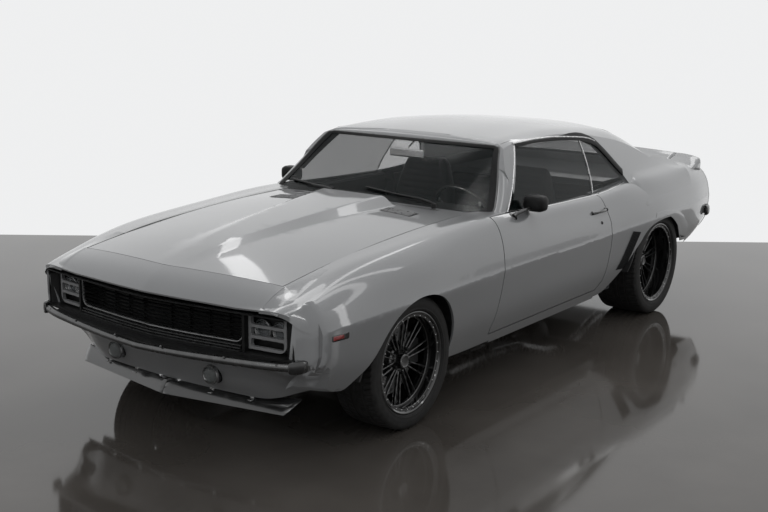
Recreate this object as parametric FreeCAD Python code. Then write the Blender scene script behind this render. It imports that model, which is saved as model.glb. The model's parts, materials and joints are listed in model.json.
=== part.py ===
# Two-door hardtop coupe of the late nineteen-sixties, lowered on wide wheels, in millimetres.
# The nose points along -Y, the car's left side is +X, +Z is up and the tyres stand on z = 0.
import FreeCAD
import Part
import math
import os

V = FreeCAD.Vector
os.makedirs("parts", exist_ok=True)

# Driving dimensions: axles and wheels
WHEELBASE = 2743.0
FRONT_AXLE_Y = -1432.0
REAR_AXLE_Y = FRONT_AXLE_Y + WHEELBASE
FRONT_TYRE_R = 325.0
REAR_TYRE_R = 335.0
FRONT_TYRE_W = 245.0
REAR_TYRE_W = 305.0
FRONT_TYRE_OUT_X = 890.0
REAR_TYRE_OUT_X = 908.0
FRONT_RIM_R = 248.0
REAR_RIM_R = 256.0
RIM_WALL = 9.0
FRONT_DISH = 70.0
REAR_DISH = 120.0
SPOKE_PAIRS = 5
LUG_CIRCLE_R = 60.3
LUG_HOLE_R = 7.0
LUGS = 5
HUB_BORE_R = 35.0
DISC_R = 178.0
DISC_T = 32.0

# Driving dimensions: body shell
PANEL_GAP = 6.0
SKIN = 14.0
DOOR_EDGE = 30.0
GLASS_T = 5.0
FLUSH = 4.0
DOOR_FRONT_Y = -640.0
DOOR_REAR_Y = 598.0
DOOR_BOTTOM_Z = 302.0
DOOR_TOP_Z = 860.0
DOOR_IN_X = 738.0
DIVISION_GAP = 10.0
WINDOW_GAP = 6.0
NOSE_HALF_W = 866.0
NOSE_TOP_Z = 710.0
COWL_Z = 905.0
SCREEN_FOOT_Y = -440.0
BELT_HALF_W = 801.0
GRILLE_BARS = 9
GRILLE_BAR_T = 6.0
GRILLE_LOW_Z = 520.0
GRILLE_TOP_Z = 670.0
GRILLE_HALF_W = 528.0
GRILLE_BACK = 50.0
COVER_BACK = 56.0
COVER_IN_X = 542.0
COVER_OUT_X = 738.0
COVER_LOW_Z = 515.0
COVER_TOP_Z = 677.0
COVER_RIM = 13.0
COVER_BAR = 13.0
COVER_CORNER_R = 38.0
MOUTH_HALF_W = 800.0
CORNER_T = 16.0
NOSE_DEPTH = 96.0
ROUND_LAMP_X = 314.0
ROUND_LAMP_Y = -2200.0
ROUND_LAMP_Z = 351.0
ROUND_LAMP_R = 48.0
BUMPER_LOW_Z = 448.0
BUMPER_TOP_Z = 498.0
VALANCE_BACK = 75.0
VALANCE_LOW_Z = 262.0
VALANCE_RISE = 92.0
TAIL_LAMP_X = [(262, 402), (412, 552), (562, 702)]
TAIL_LAMP_LOW_Z = 672.0
TAIL_LAMP_TOP_Z = 800.0
REAR_BUMPER_LOW_Z = 520.0
REAR_BUMPER_TOP_Z = 598.0
LID_LOW_Z = 862.0
CABIN_REAR_Y = 1120.0
TAIL_T = 16.0
PLATE_T = 6.0
PLATE_LOW_Z = 440.0
PLATE_HOLES = 177.8
PLATE_HOLE_R = 3.5
BELT_Z = 872.0
HOOD_HALF_W = 640.0
HOOD_POINT_Y = -2156.0
HOOD_CORNER_Y = -2073.0
HOOD_REAR_Y = -775.0
HOOD_REAR_CORNER_Y = -655.0
BULGE_RISE = 44.0
BULGE_HALF_W = 34.0
BULGE_GROWTH = 170.0
BULGE_SLOPE_W = 80.0
LID_HALF_W = 596.0
LID_FRONT_Y = 1900.0
TAIL_Y = 2262.0
FLOOR_Z = 262.0
FLOOR_T = 24.0
CABIN_HALF_W = 705.0
FIREWALL_Y = -690.0
KICK_Y = 770.0
SILL_LOW_Z = 242.0
SILL_TOP_Z = 322.0
DECK_SHELF_Z = 846.0
KNUCKLE_X = 668.0
PIPE_Z = 196.0
PIPE_R = 32.0
TANK_LOW_Z = 280.0
SEAT_X = 365.0
SEAT_HALF_W = 230.0
STEER_R = 176.0
STEER_TUBE_R = 12.0
TUNNEL_Z = 430.0
TRUNK_Z = 490.0
TRUNK_HALF_W = 580.0
TUB_R = 374.0
FRONT_TUB_X = 462.0
FRONT_TUB_HALF = 400.0
FRONT_TUB_Z = 690.0
RUN_GAP = 0.3

# Section rows of the body side: y, then (x, z) at the seam, crown, shoulder, upper side, just above
# and just below the crease, the flank, the lower flank and the bottom edge
SIDE_ROWS = [
    (-2320, (642, 668), (722, 662), (782, 650), (818, 622), (836, 586), (839, 566), (837, 512),
     (827, 446), (801, 380)),
    (-2210, (642, 722), (722, 716), (790, 700), (834, 664), (855, 618), (860, 592), (858, 530),
     (848, 450), (822, 372)),
    (-2073, (642, 768), (724, 758), (806, 736), (862, 688), (884, 634), (889, 608), (887, 530),
     (876, 440), (846, 352)),
    (-1860, (642, 815), (742, 812), (836, 776), (888, 706), (910, 648), (915, 622), (912, 530),
     (902, 420), (868, 318)),
    (-1432, (642, 862), (776, 862), (876, 806), (912, 722), (927, 656), (932, 628), (926, 540),
     (912, 420), (876, 300)),
    (-1050, (642, 886), (786, 884), (872, 818), (904, 724), (916, 652), (920, 624), (913, 530),
     (896, 400), (848, 268)),
    (-640, (642, 897), (790, 902), (866, 826), (897, 724), (908, 650), (911, 622), (905, 520),
     (889, 390), (840, 260)),
    (-100, (642, 896), (806, 882), (861, 812), (894, 722), (905, 646), (907, 618), (901, 510),
     (886, 385), (838, 258)),
    (350, (642, 886), (808, 870), (862, 803), (894, 718), (905, 643), (907, 614), (901, 510),
     (886, 385), (838, 258)),
    (600, (642, 884), (808, 867), (866, 803), (898, 718), (910, 645), (912, 617), (906, 512),
     (890, 388), (840, 260)),
    (900, (642, 898), (800, 884), (870, 826), (909, 732), (921, 656), (925, 628), (918, 520),
     (903, 400), (852, 280)),
    (1311, (650, 912), (756, 908), (862, 838), (918, 744), (935, 668), (940, 640), (934, 545),
     (920, 430), (882, 330)),
    (1700, (612, 912), (740, 906), (850, 836), (903, 748), (919, 674), (924, 646), (917, 556),
     (902, 452), (862, 362)),
    (2000, (601, 897), (728, 890), (830, 830), (878, 748), (894, 672), (898, 646), (891, 560),
     (876, 468), (832, 392)),
    (2262, (601, 880), (716, 870), (796, 816), (836, 742), (850, 670), (853, 645), (848, 572),
     (832, 496), (790, 424)),
]

# Rows of the roof and backlight: y, then z at each of the half-widths in ROOF_X
ROOF_X = (0, 300, 480, 580, 645)
ROOF_ROWS = [
    (-320, (1226, 1224, 1216, 1204, 1178)),
    (-170, (1246, 1243, 1236, 1226, 1202)),
    (100, (1268, 1264, 1254, 1240, 1212)),
    (400, (1276, 1272, 1259, 1242, 1212)),
    (700, (1268, 1262, 1245, 1222, 1188)),
    (1000, (1245, 1238, 1216, 1186, 1142)),
    (1280, (1200, 1193, 1171, 1138, 1094)),
    (1500, (1110, 1105, 1087, 1062, 1030)),
    (1700, (1000, 997, 985, 968, 946)),
    (1880, (892, 891, 886, 880, 872)),
]

# Rows of the cabin side above the belt: y, then half-width at each of the heights in CABIN_Z
CABIN_Z = (1290, 1200, 1060, 960, 905, 860)
CABIN_ROWS = [
    (-800, (562, 628, 716, 764, 784, 795)),
    (0, (566, 632, 720, 768, 788, 799)),
    (600, (562, 628, 717, 767, 790, 802)),
    (900, (538, 604, 700, 757, 792, 826)),
    (1250, (510, 572, 672, 740, 798, 866)),
    (1600, (482, 540, 642, 720, 788, 866)),
    (1880, (460, 515, 612, 696, 776, 862)),
]

# Rows of the windshield: z, then y at each of the half-widths in SHIELD_X
SHIELD_X = (0, 300, 550, 700, 850)
SHIELD_ROWS = [
    (840, (-786, -764, -699, -632, -548)),
    (905, (-690, -668, -605, -540, -460)),
    (1070, (-440, -424, -384, -340, -282)),
    (1235, (-172, -173, -182, -200, -232)),
    (1310, (-48, -54, -76, -106, -152)),
]

# Centre line of the hood: y, z and the drop from the centre to the seam
HOOD_ROWS = [
    (-2160, 803, 33),
    (-1860, 853, 38),
    (-1432, 894, 33),
    (-1050, 916, 30),
    (-600, 930, 33),
]
DECK_ROWS = [
    (1640, 934, 24),
    (1900, 926, 24),
    (2100, 915, 24),
    (2262, 900, 20),
]

# Plan curves of the nose, the front bumper and the rear bumper: half-width, then y
NOSE_PLAN = [(0, -2306), (200, -2292), (400, -2268), (600, -2243), (740, -2224), (800, -2209),
             (838, -2176), (866, -2110)]
BUMPER_PLAN = [(0, -2360), (200, -2343), (400, -2313), (600, -2277), (720, -2250), (792, -2226),
               (832, -2196), (850, -2160)]
TAIL_PLAN = [(0, 2360), (300, 2354), (600, 2334), (780, 2304), (856, 2268), (888, 2210), (894, 2160)]

# Wheel openings in the side, as (y, z) outlines from the rear foot over the top to the front foot
FRONT_ARCH = [(-1100, 200), (-1108, 380), (-1140, 510), (-1235, 612), (-1400, 652), (-1560, 622),
              (-1690, 530), (-1790, 420), (-1900, 340), (-2010, 240)]
REAR_ARCH = [(1935, 300), (1850, 420), (1740, 525), (1600, 598), (1420, 630), (1230, 628),
             (1060, 580), (965, 480), (930, 360), (925, 200)]

# Outline of the side window opening and of the door's glass, as (y, z)
WINDOW_TOP = [(-96, 1206), (260, 1204), (560, 1182), (720, 1160), (830, 1122)]
WINDOW_TIP = (1010, 928)
WINDOW_FRONT_FOOT_Y = -446
WINDOW_FOOT_Z = 852
GLASS_SPLIT_TOP_Y = 630
GLASS_SPLIT_FOOT_Y = 535


# Curves
def natural(rows):
    """A natural cubic spline through (s, a, b, ...) rows, as a function of s that gives (a, b, ...)."""
    s = [row[0] for row in rows]
    n = len(s)
    h = [s[i + 1] - s[i] for i in range(n - 1)]
    columns = []
    for k in range(1, len(rows[0])):
        v = [row[k] for row in rows]
        m = [0.0] * n
        c = [0.0] * n
        d = [0.0] * n
        for i in range(1, n - 1):
            rhs = 6 * ((v[i + 1] - v[i]) / h[i] - (v[i] - v[i - 1]) / h[i - 1])
            p = 2 * (h[i] + h[i - 1]) - h[i - 1] * c[i - 1]
            c[i] = h[i] / p
            d[i] = (rhs - h[i - 1] * d[i - 1]) / p
        for i in range(n - 2, 0, -1):
            m[i] = d[i] - c[i] * m[i + 1]
        columns.append((v, m))

    def value(x):
        i = 0
        while i < n - 2 and x > s[i + 1]:
            i += 1
        a = (s[i + 1] - x) / h[i]
        b = 1 - a
        out = []
        for v, m in columns:
            bend = ((a ** 3 - a) * m[i] + (b ** 3 - b) * m[i + 1]) * h[i] ** 2 / 6
            out.append(a * v[i] + b * v[i + 1] + bend)
        return tuple(out)

    return value


def spread(low, high, count):
    return [low + (high - low) * i / (count - 1) for i in range(count)]


def face_of(grid):
    surface = Part.BSplineSurface()
    surface.interpolate(grid)
    return surface.toShape()


# Master surfaces
side_curve = natural([(row[0],) + tuple(c for point in row[1:] for c in point) for row in SIDE_ROWS])
roof_curve = natural([(y,) + z for y, z in ROOF_ROWS])
cabin_curve = natural([(y,) + x for y, x in CABIN_ROWS])
shield_curve = natural([(z,) + y for z, y in SHIELD_ROWS])
hood_curve = natural(HOOD_ROWS)
deck_curve = natural(DECK_ROWS)


def side_point(y, t):
    """The side's skin at station y; t runs from 0 at the seam to 8 at the bottom edge."""
    flat = side_curve(y)
    section = natural([(i, flat[2 * i], flat[2 * i + 1]) for i in range(9)])
    x, z = section(t)
    return V(x, y, z)


def side_skin(y0, y1, count, t0=0.0, t1=8.0):
    return face_of([[side_point(y, t) for t in spread(t0, t1, 25)] for y in spread(y0, y1, count)])


def roof_z(x, y):
    """Height of the roof's surface, which runs on straight past its outermost given half-width."""
    heights = roof_curve(y)
    past = abs(x) - ROOF_X[-1]
    if past > 0:
        slope = (heights[-2] - heights[-1]) / (ROOF_X[-1] - ROOF_X[-2])
        return heights[-1] - slope * past
    section = natural([(a, z) for a, z in zip(ROOF_X, heights)])
    return section(abs(x))[0]


def crowned(curve, half_w):
    """A height over (x, y) that drops evenly curved from the centre line to the half-width."""
    def height(x, y):
        z, drop = curve(y)
        return z - drop * (x / half_w) ** 2
    return height


nose_spline = natural(NOSE_PLAN)
bumper_spline = natural(BUMPER_PLAN)


def nose_y(x):
    return nose_spline(x)[0]


def bumper_y(x):
    return bumper_spline(x)[0]


def hood_front_y(x):
    """The V-shaped front edge of the hood, softened at its point."""
    return HOOD_POINT_Y + (HOOD_CORNER_Y - HOOD_POINT_Y) * (x / HOOD_HALF_W) ** 1.3


def hood_rear_y(x):
    return HOOD_REAR_Y + (HOOD_REAR_CORNER_Y - HOOD_REAR_Y) * (x / HOOD_HALF_W) ** 2


def eased(t):
    t = min(1.0, max(0.0, t))
    return t * t * (3 - 2 * t)


def hood_z(x, y):
    """The hood's crown with the raised middle that grows from the point of the nose to the cowl."""
    grown = min(1.0, max(0.0, (y + 2150) / 1400))
    edge = BULGE_HALF_W + BULGE_GROWTH * grown + BULGE_SLOPE_W
    return under_hood_z(x, y) + BULGE_RISE * grown * eased((edge - abs(x)) / BULGE_SLOPE_W)


under_hood_z = crowned(hood_curve, HOOD_HALF_W)
deck_z = crowned(deck_curve, LID_HALF_W)


# Shapes
def box(x0, x1, y0, y1, z0, z1):
    return Part.makeBox(x1 - x0, y1 - y0, z1 - z0, V(x0, y0, z0))


def prism(points, direction):
    return Part.Face(Part.makePolygon(points + [points[0]])).extrude(direction)


def prism_x(points, x0, x1):
    return prism([V(x0, y, z) for y, z in points], V(x1 - x0, 0, 0))


def prism_y(points, y0, y1):
    return prism([V(x, y0, z) for x, z in points], V(0, y1 - y0, 0))


def prism_z(points, z0, z1):
    return prism([V(x, y, z0) for x, y in points], V(0, 0, z1 - z0))


def rod(a, b, r):
    return Part.makeCylinder(r, (b - a).Length, a, b - a)


def curve_prism(points, direction):
    """The solid whose outline is a smooth curve through the points, closed by a straight line."""
    curve = Part.BSplineCurve()
    curve.interpolate(points)
    edge = curve.toShape()
    closing = Part.makeLine(points[-1], points[0])
    return Part.Face(Part.Wire([edge, closing])).extrude(direction)


def band(front, back, half_w, z0, z1, count=13):
    """A bar across the car between two plan curves y(x), from z0 to z1."""
    xs = spread(-half_w, half_w, count)
    ahead = Part.BSplineCurve()
    ahead.interpolate([V(x, front(abs(x)), z0) for x in xs])
    behind = Part.BSplineCurve()
    behind.interpolate([V(x, back(abs(x)), z0) for x in reversed(xs)])
    ends = [Part.makeLine(V(xs[-1], front(half_w), z0), V(xs[-1], back(half_w), z0)),
            Part.makeLine(V(xs[0], back(half_w), z0), V(xs[0], front(half_w), z0))]
    wire = Part.Wire([ahead.toShape(), ends[0], behind.toShape(), ends[1]])
    return Part.Face(wire).extrude(V(0, 0, z1 - z0))


def strip(plan, depth, z0, z1):
    """A blade that follows plan points (x, y) from the middle round both ends, depth thick inwards."""
    half = natural([(i, x, y) for i, (x, y) in enumerate(plan)])
    dense = [half(t) for t in spread(0, len(plan) - 1, 2 * len(plan))]
    line = [V(-x, y, z0) for x, y in reversed(dense[1:])] + [V(x, y, z0) for x, y in dense]
    inner = []
    for i, point in enumerate(line):
        along_it = line[min(i + 1, len(line) - 1)] - line[max(i - 1, 0)]
        inner.append(point + V(-along_it.y, along_it.x, 0).normalize() * depth)
    outer_edge = Part.BSplineCurve()
    outer_edge.interpolate(line)
    inner_edge = Part.BSplineCurve()
    inner_edge.interpolate(inner)
    wire = Part.Wire([outer_edge.toShape(), Part.makeLine(line[-1], inner[-1]), inner_edge.toShape(),
                      Part.makeLine(inner[0], line[0])])
    return Part.Face(wire).extrude(V(0, 0, z1 - z0))


def mirrored(shape):
    return shape.mirror(V(0, 0, 0), V(1, 0, 0))


def both(shape):
    return Part.makeCompound([shape, mirrored(shape)])


def joined(shapes):
    whole = shapes[0]
    if len(shapes) > 1:
        whole = whole.fuse(shapes[1:])
    return whole.removeSplitter()


def less(shape, *cutters):
    """The shape cut by one piece after another, which holds where a single cut by all of them fails."""
    for cutter in cutters:
        shape = shape.cut(cutter)
    return shape


def save(name, shape):
    shape.exportStep("parts/" + name + ".step")


def rounded(shape, radius, keep):
    """The shape with its chosen edges rounded."""
    edges = [edge for edge in shape.Edges if keep(edge)]
    return shape.makeFillet(radius, edges)


def along(edge, axis):
    tangent = edge.tangentAt(edge.FirstParameter)
    return abs(tangent.dot(axis)) > 0.999 and abs(edge.tangentAt(edge.LastParameter).dot(axis)) > 0.999


# Body side: one skin from nose to tail, cut at the real panel gaps
def side_body():
    whole = side_skin(SIDE_ROWS[0][0], TAIL_Y, 33).extrude(V(-SKIN, 0, -SKIN))
    for outline in (FRONT_ARCH, REAR_ARCH):
        whole = less(whole, curve_prism([V(600, y, z) for y, z in outline], V(500, 0, 0)))
    return whole


def nose_corner():
    """The fender's front face, wrapped round from the side to the mouth of the grille."""
    inside = side_skin(SIDE_ROWS[0][0], SIDE_ROWS[3][0], 13, 1.8, 8.0).extrude(V(-300, 0, 0))
    face = plan_band(nose_y, 0, CORNER_T, MOUTH_HALF_W, NOSE_HALF_W, BUMPER_LOW_Z, 760)
    return face.common(inside)


def ahead_of_nose():
    """The space outside the plan curve of the nose on the left, which rounds the fender's front corner."""
    curve = Part.BSplineCurve()
    xs = spread(560, NOSE_HALF_W, 13)
    curve.interpolate([V(x, nose_y(x), 0) for x in xs])
    corners = [V(NOSE_HALF_W, nose_y(NOSE_HALF_W), 0), V(1200, -2000, 0), V(1200, -2500, 0), V(560, -2500, 0),
               V(560, nose_y(560), 0)]
    edges = [curve.toShape()] + [Part.makeLine(a, b) for a, b in zip(corners, corners[1:])]
    return Part.Face(Part.Wire(edges)).extrude(V(0, 0, 1300))


def door_outline(inset):
    """The door's edge in (y, z), drawn in by inset on every side that meets a panel."""
    front, rear, bottom = DOOR_FRONT_Y + inset, DOOR_REAR_Y - inset, DOOR_BOTTOM_Z + inset
    return [(front + 18, 1000), (front, 660), (front - 26, 520), (front - 74, bottom + 40),
            (front - 66, bottom), (rear - 90, bottom), (rear - 40, bottom + 50), (rear, 560),
            (rear, 700), (rear - 60, 1000)]


def side_panels():
    whole = side_body()
    door = whole.common(prism_x(door_outline(0), BELT_HALF_W, 1100))
    rest = whole.cut(prism_x(door_outline(-PANEL_GAP), BELT_HALF_W - PANEL_GAP, 1100))
    ahead = box(400, 1100, -2500, DOOR_FRONT_Y + 30, 0, 1200)
    beside = box(400, BELT_HALF_W - PANEL_GAP, DOOR_FRONT_Y, SCREEN_FOOT_Y, 700, 1200)
    below = box(400, 1100, DOOR_FRONT_Y + 30, DOOR_REAR_Y - 60, 0, 500)
    behind = box(400, 1100, DOOR_REAR_Y - 60, 2500, 0, 1200).cut(box(400, 760, 0, 1818, 700, 1200))
    over_hood = box(0, HOOD_HALF_W + PANEL_GAP / 2, -2500, 0, 0, 1300)
    over_lid = box(0, LID_HALF_W + PANEL_GAP / 2, LID_FRONT_Y - 20, 2500, 0, 1300)
    fender = joined([rest.common(ahead.fuse(beside)).cut([ahead_of_nose(), over_hood]), nose_corner()])
    return fender, door, rest.common(below), rest.common(behind).cut(over_lid)


def outboard():
    """The space outside the inner face of the side skin, with a running gap."""
    face = side_skin(-2245, TAIL_Y, 25)
    face.translate(V(-SKIN - RUN_GAP, 0, -SKIN - RUN_GAP))
    return face.extrude(V(300, 0, 0))


def door_panel(skin):
    """The outer skin with the box of the door behind it, open at the top for the glass."""
    backing = side_skin(DOOR_FRONT_Y - 100, DOOR_REAR_Y, 15)
    backing.translate(V(-SKIN / 2, 0, -SKIN / 2))
    volume = backing.extrude(V(-300, 0, 0))
    inner = volume.common(prism_x(door_outline(DOOR_EDGE), DOOR_IN_X, 1000))
    inner = inner.common(box(DOOR_IN_X, 1000, -1000, 1000, 0, DOOR_TOP_Z))
    return joined([skin, inner])


# Cabin: roof, pillars and the glass in them
def roof_face(drop):
    ys = spread(ROOF_ROWS[0][0], ROOF_ROWS[-1][0], 19)
    xs = spread(-880, 880, 33)
    return face_of([[V(x, y, roof_z(x, y) - drop) for x in xs] for y in ys])


def cabin_face(draw):
    rows = []
    for y in spread(CABIN_ROWS[0][0], CABIN_ROWS[-1][0], 17):
        section = natural([(-z, x) for z, x in zip(CABIN_Z, cabin_curve(y))])
        rows.append([V(section(-z)[0] - draw, y, z) for z in spread(CABIN_Z[0], CABIN_Z[-1], 13)])
    return face_of(rows)


def shield_y(x, z):
    section = natural([(a, y) for a, y in zip(SHIELD_X, shield_curve(z))])
    return section(abs(x))[0]


def shield_face(back):
    xs = spread(-SHIELD_X[-1], SHIELD_X[-1], 17)
    return face_of([[V(x, shield_y(x, z) + back, z) for x in xs] for z in spread(840, 1310, 9)])


def cabin_solid(drop, draw, back):
    """Everything inside the roof, side and windshield surfaces, each moved inwards by its own amount."""
    side = cabin_face(draw).extrude(V(-1800, 0, 0))
    shape = roof_face(drop).extrude(V(0, 0, -700)).common(side)
    return shape.common([mirrored(side)]).common([shield_face(back).extrude(V(0, 2900, 0))])


def window_outline(bottom, inset):
    """The side window from its slanted front line to its rear tip, drawn in by inset."""
    top = [(y, z - inset) for y, z in WINDOW_TOP]
    lean = (WINDOW_TOP[0][0] - WINDOW_FRONT_FOOT_Y) / (WINDOW_TOP[0][1] - WINDOW_FOOT_Z)
    back = 1.4 * inset
    foot = (WINDOW_FRONT_FOOT_Y + back + lean * (bottom - WINDOW_FOOT_Z), bottom)
    head = (WINDOW_TOP[0][0] + back - lean * inset, top[0][1])
    return [foot, head] + top[1:] + [(WINDOW_TIP[0] - inset, WINDOW_TIP[1]), (WINDOW_TIP[0] - inset, bottom)]


def shield_outline(inset):
    foot, head, top = 742 - inset, 588 - inset, 1208 - inset
    low = COWL_Z - 8
    return [(-foot, low), (-head, top), (head, top), (foot, low)]


def backlight_outline(inset):
    head, foot = 500 - inset, 596 - inset
    return [(-head, 1300 + inset), (head, 1300 + inset), (foot, 1815 - inset), (-foot, 1815 - inset)]


def cabin_frame():
    shell = cabin_solid(0, 0, 0).cut(cabin_solid(28, 42, 46))
    side_cut = prism_x(window_outline(800, 0), 450, 1000)
    openings = [prism_y(shield_outline(0), -900, -120), side_cut, mirrored(side_cut),
                prism_z(backlight_outline(0), 840, 1300), box(-1000, 1000, -900, 2000, 500, BELT_Z),
                box(-596, 596, 1814, 2000, 500, 1200)]
    return shell.cut(openings)


def windshield_pane():
    pane = shield_face(FLUSH * 1.6).extrude(V(0, GLASS_T * 1.6, 0))
    return pane.common(prism_y(shield_outline(RUN_GAP), -900, -120))


def backlight_pane():
    pane = roof_face(FLUSH).extrude(V(0, 0, -GLASS_T * 1.2))
    return pane.common(prism_z(backlight_outline(RUN_GAP), 840, 1300))


def side_panes():
    """The door's glass and the quarter glass, either side of the upright division."""
    pane = cabin_face(FLUSH).extrude(V(-GLASS_T, 0, 0))
    slope = (GLASS_SPLIT_TOP_Y - GLASS_SPLIT_FOOT_Y) / 320.0
    ahead = [(-2000, 700), (GLASS_SPLIT_FOOT_Y - 180 * slope, 700), (GLASS_SPLIT_TOP_Y + 100 * slope, 1300),
             (-2000, 1300)]
    behind = [(y + DIVISION_GAP, z) for y, z in (ahead[1], ahead[2])] + [(1500, 1300), (1500, 700)]
    opening = prism_x(window_outline(DOOR_TOP_Z + RUN_GAP, WINDOW_GAP), 450, 1000)
    still = prism_x(window_outline(BELT_Z, RUN_GAP), 450, 1000)
    return pane.common(opening).common([prism_x(ahead, 450, 1000)]), pane.common(still).common(
        [prism_x(behind, 450, 1000)])


# Hood, header, deck and the other panels across the car
def crowned_solid(height, half_w, y0, y1, depth, lift=0.0, across=15):
    xs = spread(-half_w, half_w, across)
    grid = [[V(x, y, height(x, y) + lift) for x in xs] for y in spread(y0, y1, 17)]
    return face_of(grid).extrude(V(0, 0, -depth))


def hood_panel():
    region = band(hood_front_y, hood_rear_y, HOOD_HALF_W - PANEL_GAP / 2, 600, 1100)
    return crowned_solid(hood_z, HOOD_HALF_W + 20, -2200, -600, SKIN, 0.0, 67).common(region)


def cowl_panel():
    region = band(lambda x: hood_rear_y(x) + PANEL_GAP, lambda x: shield_y(x, COWL_Z) - RUN_GAP, HOOD_HALF_W,
                  600, 1100)
    return crowned_solid(under_hood_z, HOOD_HALF_W + 20, -900, -400, 60, -2).common(region)


def header_panel():
    """The panel between the hood and the grille, rolled down at its front edge."""
    xs = spread(-HOOD_HALF_W + 0.5, HOOD_HALF_W - 0.5, 17)
    grid = []
    for s in spread(0, 1, 9):
        row = []
        for x in xs:
            y0, y1 = hood_front_y(abs(x)) - PANEL_GAP, nose_y(abs(x))
            z0, z1 = hood_z(x, y0), NOSE_TOP_Z - 8 * (x / HOOD_HALF_W) ** 2
            row.append(V(x, y0 + (y1 - y0) * s, z0 + (z1 - z0) * (0.55 * s + 0.45 * s ** 3)))
        grid.append(row)
    panel = face_of(grid).extrude(V(0, 0, -SKIN))
    lip = band(lambda x: nose_y(x) + 3, lambda x: nose_y(x) + 15, HOOD_HALF_W - 4, NOSE_TOP_Z - 26,
               NOSE_TOP_Z - 6)
    return joined([panel, lip])


def deck_filler():
    region = box(-LID_HALF_W + 1, LID_HALF_W - 1, 1818, LID_FRONT_Y - PANEL_GAP / 2, 600, 1100)
    return crowned_solid(deck_z, LID_HALF_W + 20, 1700, 1960, SKIN).common(region)


def trunk_lid():
    w = LID_HALF_W - PANEL_GAP / 2
    region = box(-w, w, LID_FRONT_Y + PANEL_GAP / 2, TAIL_Y, 600, 1100)
    top = crowned_solid(deck_z, LID_HALF_W + 20, 1840, TAIL_Y + 20, SKIN).common(region)
    drop = box(-w, w, TAIL_Y - SKIN, TAIL_Y, LID_LOW_Z, 884)
    return joined([top, drop])


def spoiler_section(x):
    base = deck_z(min(abs(x), LID_HALF_W), TAIL_Y)
    return [(2095, base + 8), (2180, base + 24), (2272, base + 52), (2282, base + 46),
            (2264, base + 6), (2240, base + 1)]


# Nose: grille, lamp covers, bumper, valance and splitter
def plan_band(plan, ahead, deep, x0, x1, z0, z1):
    """A piece between x0 and x1 that follows a plan curve, from ahead to ahead + deep behind it."""
    whole = band(lambda x: plan(x) + ahead, lambda x: plan(x) + ahead + deep, x1, z0, z1, 17)
    return whole if x0 < 0 else whole.common(box(x0, x1, -3000, 0, z0, z1))


def grille():
    bars = []
    pitch = (GRILLE_TOP_Z - GRILLE_LOW_Z) / (GRILLE_BARS - 1)
    for i in range(GRILLE_BARS):
        z = GRILLE_LOW_Z + i * pitch
        bars.append(plan_band(nose_y, GRILLE_BACK, 22, -GRILLE_HALF_W, GRILLE_HALF_W, z, z + GRILLE_BAR_T))
    posts = [-GRILLE_HALF_W, -260, -5, 250, GRILLE_HALF_W - 10]
    top = GRILLE_TOP_Z + GRILLE_BAR_T
    for x in posts:
        post = box(x, x + 10, -2400, -2000, GRILLE_LOW_Z, top)
        bars.append(post.common(plan_band(nose_y, GRILLE_BACK + 6, 14, -GRILLE_HALF_W, GRILLE_HALF_W,
                                          GRILLE_LOW_Z, top)))
    return joined(bars)


def lamp_cover():
    """One of the see-through covers ahead of the head lamps, with its three slots."""
    cover = plan_band(nose_y, COVER_BACK, 18, COVER_IN_X, COVER_OUT_X, COVER_LOW_Z, COVER_TOP_Z)
    clear = (COVER_TOP_Z - COVER_LOW_Z - 2 * COVER_RIM - 2 * COVER_BAR) / 3
    for i in range(3):
        z = COVER_LOW_Z + COVER_RIM + i * (clear + COVER_BAR)
        slot = box(COVER_IN_X + COVER_RIM, COVER_OUT_X - COVER_RIM, -2500, -2000, z, z + clear)
        cover = cover.cut(rounded(slot, 9, lambda e: along(e, V(0, 1, 0))))
    outer = box(COVER_IN_X - 60, COVER_OUT_X, -2500, -2000, COVER_LOW_Z, COVER_TOP_Z + 60)
    return cover.common(rounded(outer, COVER_CORNER_R, lambda e: along(e, V(0, 1, 0))))


def head_lamps():
    """Clear lenses behind the covers and the round lamps of the valance."""
    lens = plan_band(nose_y, COVER_BACK + 18 + RUN_GAP, 8, COVER_IN_X + 6, COVER_OUT_X - 6, COVER_LOW_Z + 6,
                     COVER_TOP_Z - 6)
    a = V(ROUND_LAMP_X, ROUND_LAMP_Y, ROUND_LAMP_Z)
    lamp = rod(a, a + V(0, 60, 0), ROUND_LAMP_R)
    return both(Part.makeCompound([lens, lamp]))


def nose_frame():
    """The dark surround of the grille: back panel, floor, ends and the posts the grille hangs on."""
    low, top = COVER_LOW_Z - 22, NOSE_TOP_Z - 26 - RUN_GAP
    wide = MOUTH_HALF_W - RUN_GAP
    back = plan_band(nose_y, NOSE_DEPTH, 10, -wide, wide, low, top - 3)
    floor = band(lambda x: nose_y(x) + 12, lambda x: nose_y(x) + NOSE_DEPTH + 10, wide, low, low + 12)
    deep = NOSE_DEPTH - COVER_BACK
    end = plan_band(nose_y, COVER_BACK + 4, deep, COVER_OUT_X + RUN_GAP, wide, low, top - 10)
    cheek = plan_band(nose_y, CORNER_T + RUN_GAP, NOSE_DEPTH - CORNER_T, wide - 6, wide + 8, low, top - 10)
    inner = plan_band(nose_y, GRILLE_BACK - 20, NOSE_DEPTH - GRILLE_BACK + 22, GRILLE_HALF_W + RUN_GAP,
                      COVER_IN_X - RUN_GAP, low, top)
    rail = plan_band(nose_y, 5, NOSE_DEPTH + 5, -wide, wide, top - 6, top)
    sides = [end, cheek, inner]
    return joined([back, floor, rail] + sides + [mirrored(piece) for piece in sides])


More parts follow.
